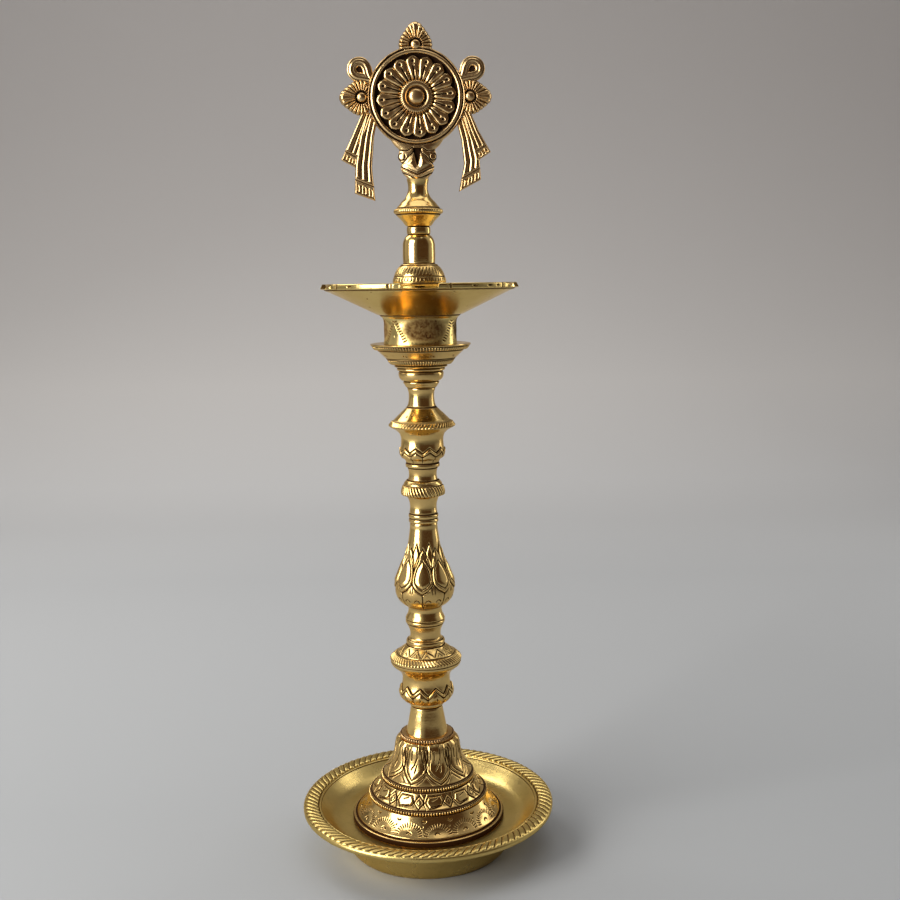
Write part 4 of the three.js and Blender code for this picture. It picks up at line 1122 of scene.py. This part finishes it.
low, high = -3.0, 16.2
level = np.linspace(low, high, 92)
outline = bend((4.6, low), (5.2, -0.6), (6.0, 0.9), (8.1, 3.4), (8.8, 5.2), (8.7, 7.2), (8.2, 8.0),
               (9.1, 9.0),
               (10.1, 10.6), (10.2, 12.6), (9.6, 14.4), (9.6, 15.4), (10.4, high), step=0.2)
width = np.interp(level, outline[:, 1], outline[:, 0])
spread = np.sin(np.linspace(-math.pi / 2, math.pi / 2, 96))[None]
across, up = width[:, None] * spread, level[:, None] + wheel_foot - wheel_centre + 0 * spread
grown = np.linspace(0.1, 1, 10)[:, None]
flared = (10.4 + grown * 4.8) * spread
neck = -np.sqrt(24.8**2 - flared**2)
across = np.vstack([across, flared])
up = np.vstack([up, up[-1:] * (1 - grown) + neck * grown])
level = up + wheel_centre - wheel_foot
thick = np.interp(level, [-3, 0.5, 4, 8, 13, 18], [3.8, 5.4, 4.6, 3.7, 3.3, 2.8])
half = thick * (1 - spread**2) ** 0.3 + 0.2
chevron = [[(-9.2, 6.4), (0, 2.1), (9.2, 6.4)], [(-9.4, 3.9), (0, -0.6), (9.4, 3.9)]]
gap = inside(across, level, [
    (-2.8, 16.4), (2.8, 16.4), (1.7, 12.0), (0.9, 8.4), (0, 5.6), (-0.9, 8.4), (-1.7, 12.0),
], 0.7)
curls = mirrored([
    [(8.6, 7.6), (6.4, 9.6), (4.6, 11.8), (2.6, 13.2), (1.6, 15.2)],
    [(2.4, 16.4), (5.2, 14.6), (9.4, 15.0)],
    arc((8.3, 11.5), 1.9, -215, 85, 9),
])
raised = inside(across, level, [(-9.4, 6.0), (0, 1.7), (9.4, 6.0), (9.4, 4.3), (0, -0.2), (-9.4, 4.3)], 0.9)
leaves = inside(across, level, [
    (-8.2, 7.6), (-5.6, 9.8), (-3.6, 11.8), (-1.8, 13.0), (-0.6, 10.0), (0, 6.4),
    (0.6, 10.0), (1.8, 13.0), (3.6, 11.8), (5.6, 9.8), (8.2, 7.6), (0, 2.8),
], 2.6)
drawn = np.maximum(strokes(across, level, chevron, 0.9), strokes(across, level, curls, 0.95))
half += 0.7 * raised + 1.1 * leaves - 0.7 * drawn - 1.7 * gap
capital = pillow("capital_brass", across, up, half, np.maximum(drawn, gap))
piece("capital_brass", capital, old_brass, "antique_brass", "finial_section")

# Floor and backdrop. A pale matt board under the lamp that sweeps up into a wall behind it. It fills
# the photo's view; from behind the lamp, its front end shows against the room.
FLOOR_REACH = 3.0
WALL_START = 0.9
WALL_BEND = 1.1
WALL_TOP = 3.0
BOARD_DEPTH = 2.0
# Painted light and shade on the board: its colour runs from darker on the floor in front to lighter where it
# bends up into the wall, and a little darker again higher up, as the light falls.
BOARD_PAINTED_SHADING = (
    (0.02, (0.365, 0.38, 0.395)), (0.3, (0.47, 0.485, 0.50)), (0.55, (0.68, 0.69, 0.70)),
    (0.72, (0.76, 0.755, 0.75)), (0.98, (0.67, 0.655, 0.65)),
)
board = bpy.data.materials.new("pale board")
board.use_nodes = True
paint = board.node_tree
depth = add(paint, "ShaderNodeSeparateXYZ", {0: add(paint, "ShaderNodeTexCoord", {}, "Object")}, 1)
far = add(paint, "ShaderNodeMapRange", {"Value": depth, "From Max": BOARD_DEPTH})
painted_shading = add(paint, "ShaderNodeValToRGB", {0: far})
stops = painted_shading.node.color_ramp.elements
for share, colour in BOARD_PAINTED_SHADING:
    stops.new(share).color = (*colour, 1.0)
stops.remove(stops[0])
stops.remove(stops[-1])
feed(paint, paint.nodes["Principled BSDF"], {"Base Color": painted_shading, "Roughness": 0.8})
sweep = [(-FLOOR_REACH, 0.0), (WALL_START, 0.0)]
for a in np.linspace(0.05, math.pi / 2, 24):
    sweep.append((WALL_START + WALL_BEND * math.sin(a), WALL_BEND * (1 - math.cos(a))))
sweep.append((WALL_START + WALL_BEND, WALL_TOP))
corners = [(x, y, z) for y, z in sweep for x in (-FLOOR_REACH, FLOOR_REACH)]
quads = [(2 * i, 2 * i + 1, 2 * i + 3, 2 * i + 2) for i in range(len(sweep) - 1)]
floor_mesh = bpy.data.meshes.new("floor")
floor_mesh.from_pydata(corners, [], quads)
floor_mesh.shade_smooth()
floor_mesh.materials.append(board)
floor = bpy.data.objects.new("floor", floor_mesh)
bpy.context.collection.objects.link(floor)

# Light. A large window from the front left, a skylight behind it, a narrow panel at the back right
# and a soft one overhead. The room is grey, with a dark stretch such as a doorway at the front right.


def lamp(name, place, aim, size, power, colour):
    """A soft rectangular lamp that faces a point."""
    data = bpy.data.lights.new(name, "AREA")
    data.shape = "RECTANGLE"
    data.size, data.size_y = size
    data.energy = power
    data.color = colour
    made = bpy.data.objects.new(name, data)
    direction = Matrix.Translation(aim).to_translation() - Matrix.Translation(place).to_translation()
    made.matrix_world = Matrix.Translation(place) @ direction.to_track_quat("-Z", "Y").to_matrix().to_4x4()
    bpy.context.collection.objects.link(made)


lamp("window", (-1.1, -0.75, 0.66), (0, 0, 0.22), (0.85, 1.25), 29, (1.0, 0.97, 0.93))
lamp("skylight", (-0.65, 0.5, 1.0), (0, 0, 0.1), (0.5, 0.5), 3.2, (1.0, 0.98, 0.95))
lamp("edge", (0.95, 0.45, 0.5), (0, 0, 0.22), (0.25, 0.9), 1.6, (1.0, 0.97, 0.92))
lamp("overhead", (0.1, 0.2, 1.5), (0, 0, 0.1), (1.2, 1.2), 5.5, (1.0, 0.98, 0.95))

BACK_WALL = (0.50, 0.49, 0.48, 1.0)
FRONT_WALL = (0.22, 0.215, 0.21, 1.0)
DARK_DOORWAY = (0.075, 0.045, 0.028, 1.0)
DOORWAY_SIDE = math.radians(28)
DOORWAY_EDGES = (0.62, 0.80)
DOORWAY_TOP = (0.75, 0.95)
room = bpy.data.worlds.new("room")
room.use_nodes = True
walls = room.node_tree


def eased(source, low, high):
    """A socket that eases from 0 at the low value to 1 at the high one."""
    limits = {"Value": source, "From Min": low, "From Max": high}
    return add(walls, "ShaderNodeMapRange", limits, interpolation_type="SMOOTHSTEP")


def vectors(operation, output, *values):
    return add(walls, "ShaderNodeVectorMath", dict(enumerate(values)), output, operation=operation)


direction = add(walls, "ShaderNodeTexCoord", {}, "Generated")
unit = vectors("NORMALIZE", 0, vectors("MULTIPLY", 0, direction, (1, 1, 0)))
towards = (math.sin(DOORWAY_SIDE), -math.cos(DOORWAY_SIDE), 0)
facing = vectors("DOT_PRODUCT", "Value", unit, towards)
_, back, up = add(walls, "ShaderNodeSeparateXYZ", {0: direction}).node.outputs
below_top = maths(walls, "SUBTRACT", 1.0, eased(up, *DOORWAY_TOP))
doorway = maths(walls, "MULTIPLY", eased(facing, *DOORWAY_EDGES), below_top)
pale = {0: eased(back, -0.5, 0.5), 6: FRONT_WALL, 7: BACK_WALL}
pale = add(walls, "ShaderNodeMix", pale, 2, data_type="RGBA")
seen = add(walls, "ShaderNodeMix", {0: doorway, 6: pale, 7: DARK_DOORWAY}, 2, data_type="RGBA")
feed(walls, walls.nodes["Background"], {"Color": seen, "Strength": 1.0})
bpy.context.scene.world = room
bpy.context.scene.view_settings.view_transform = "Standard"
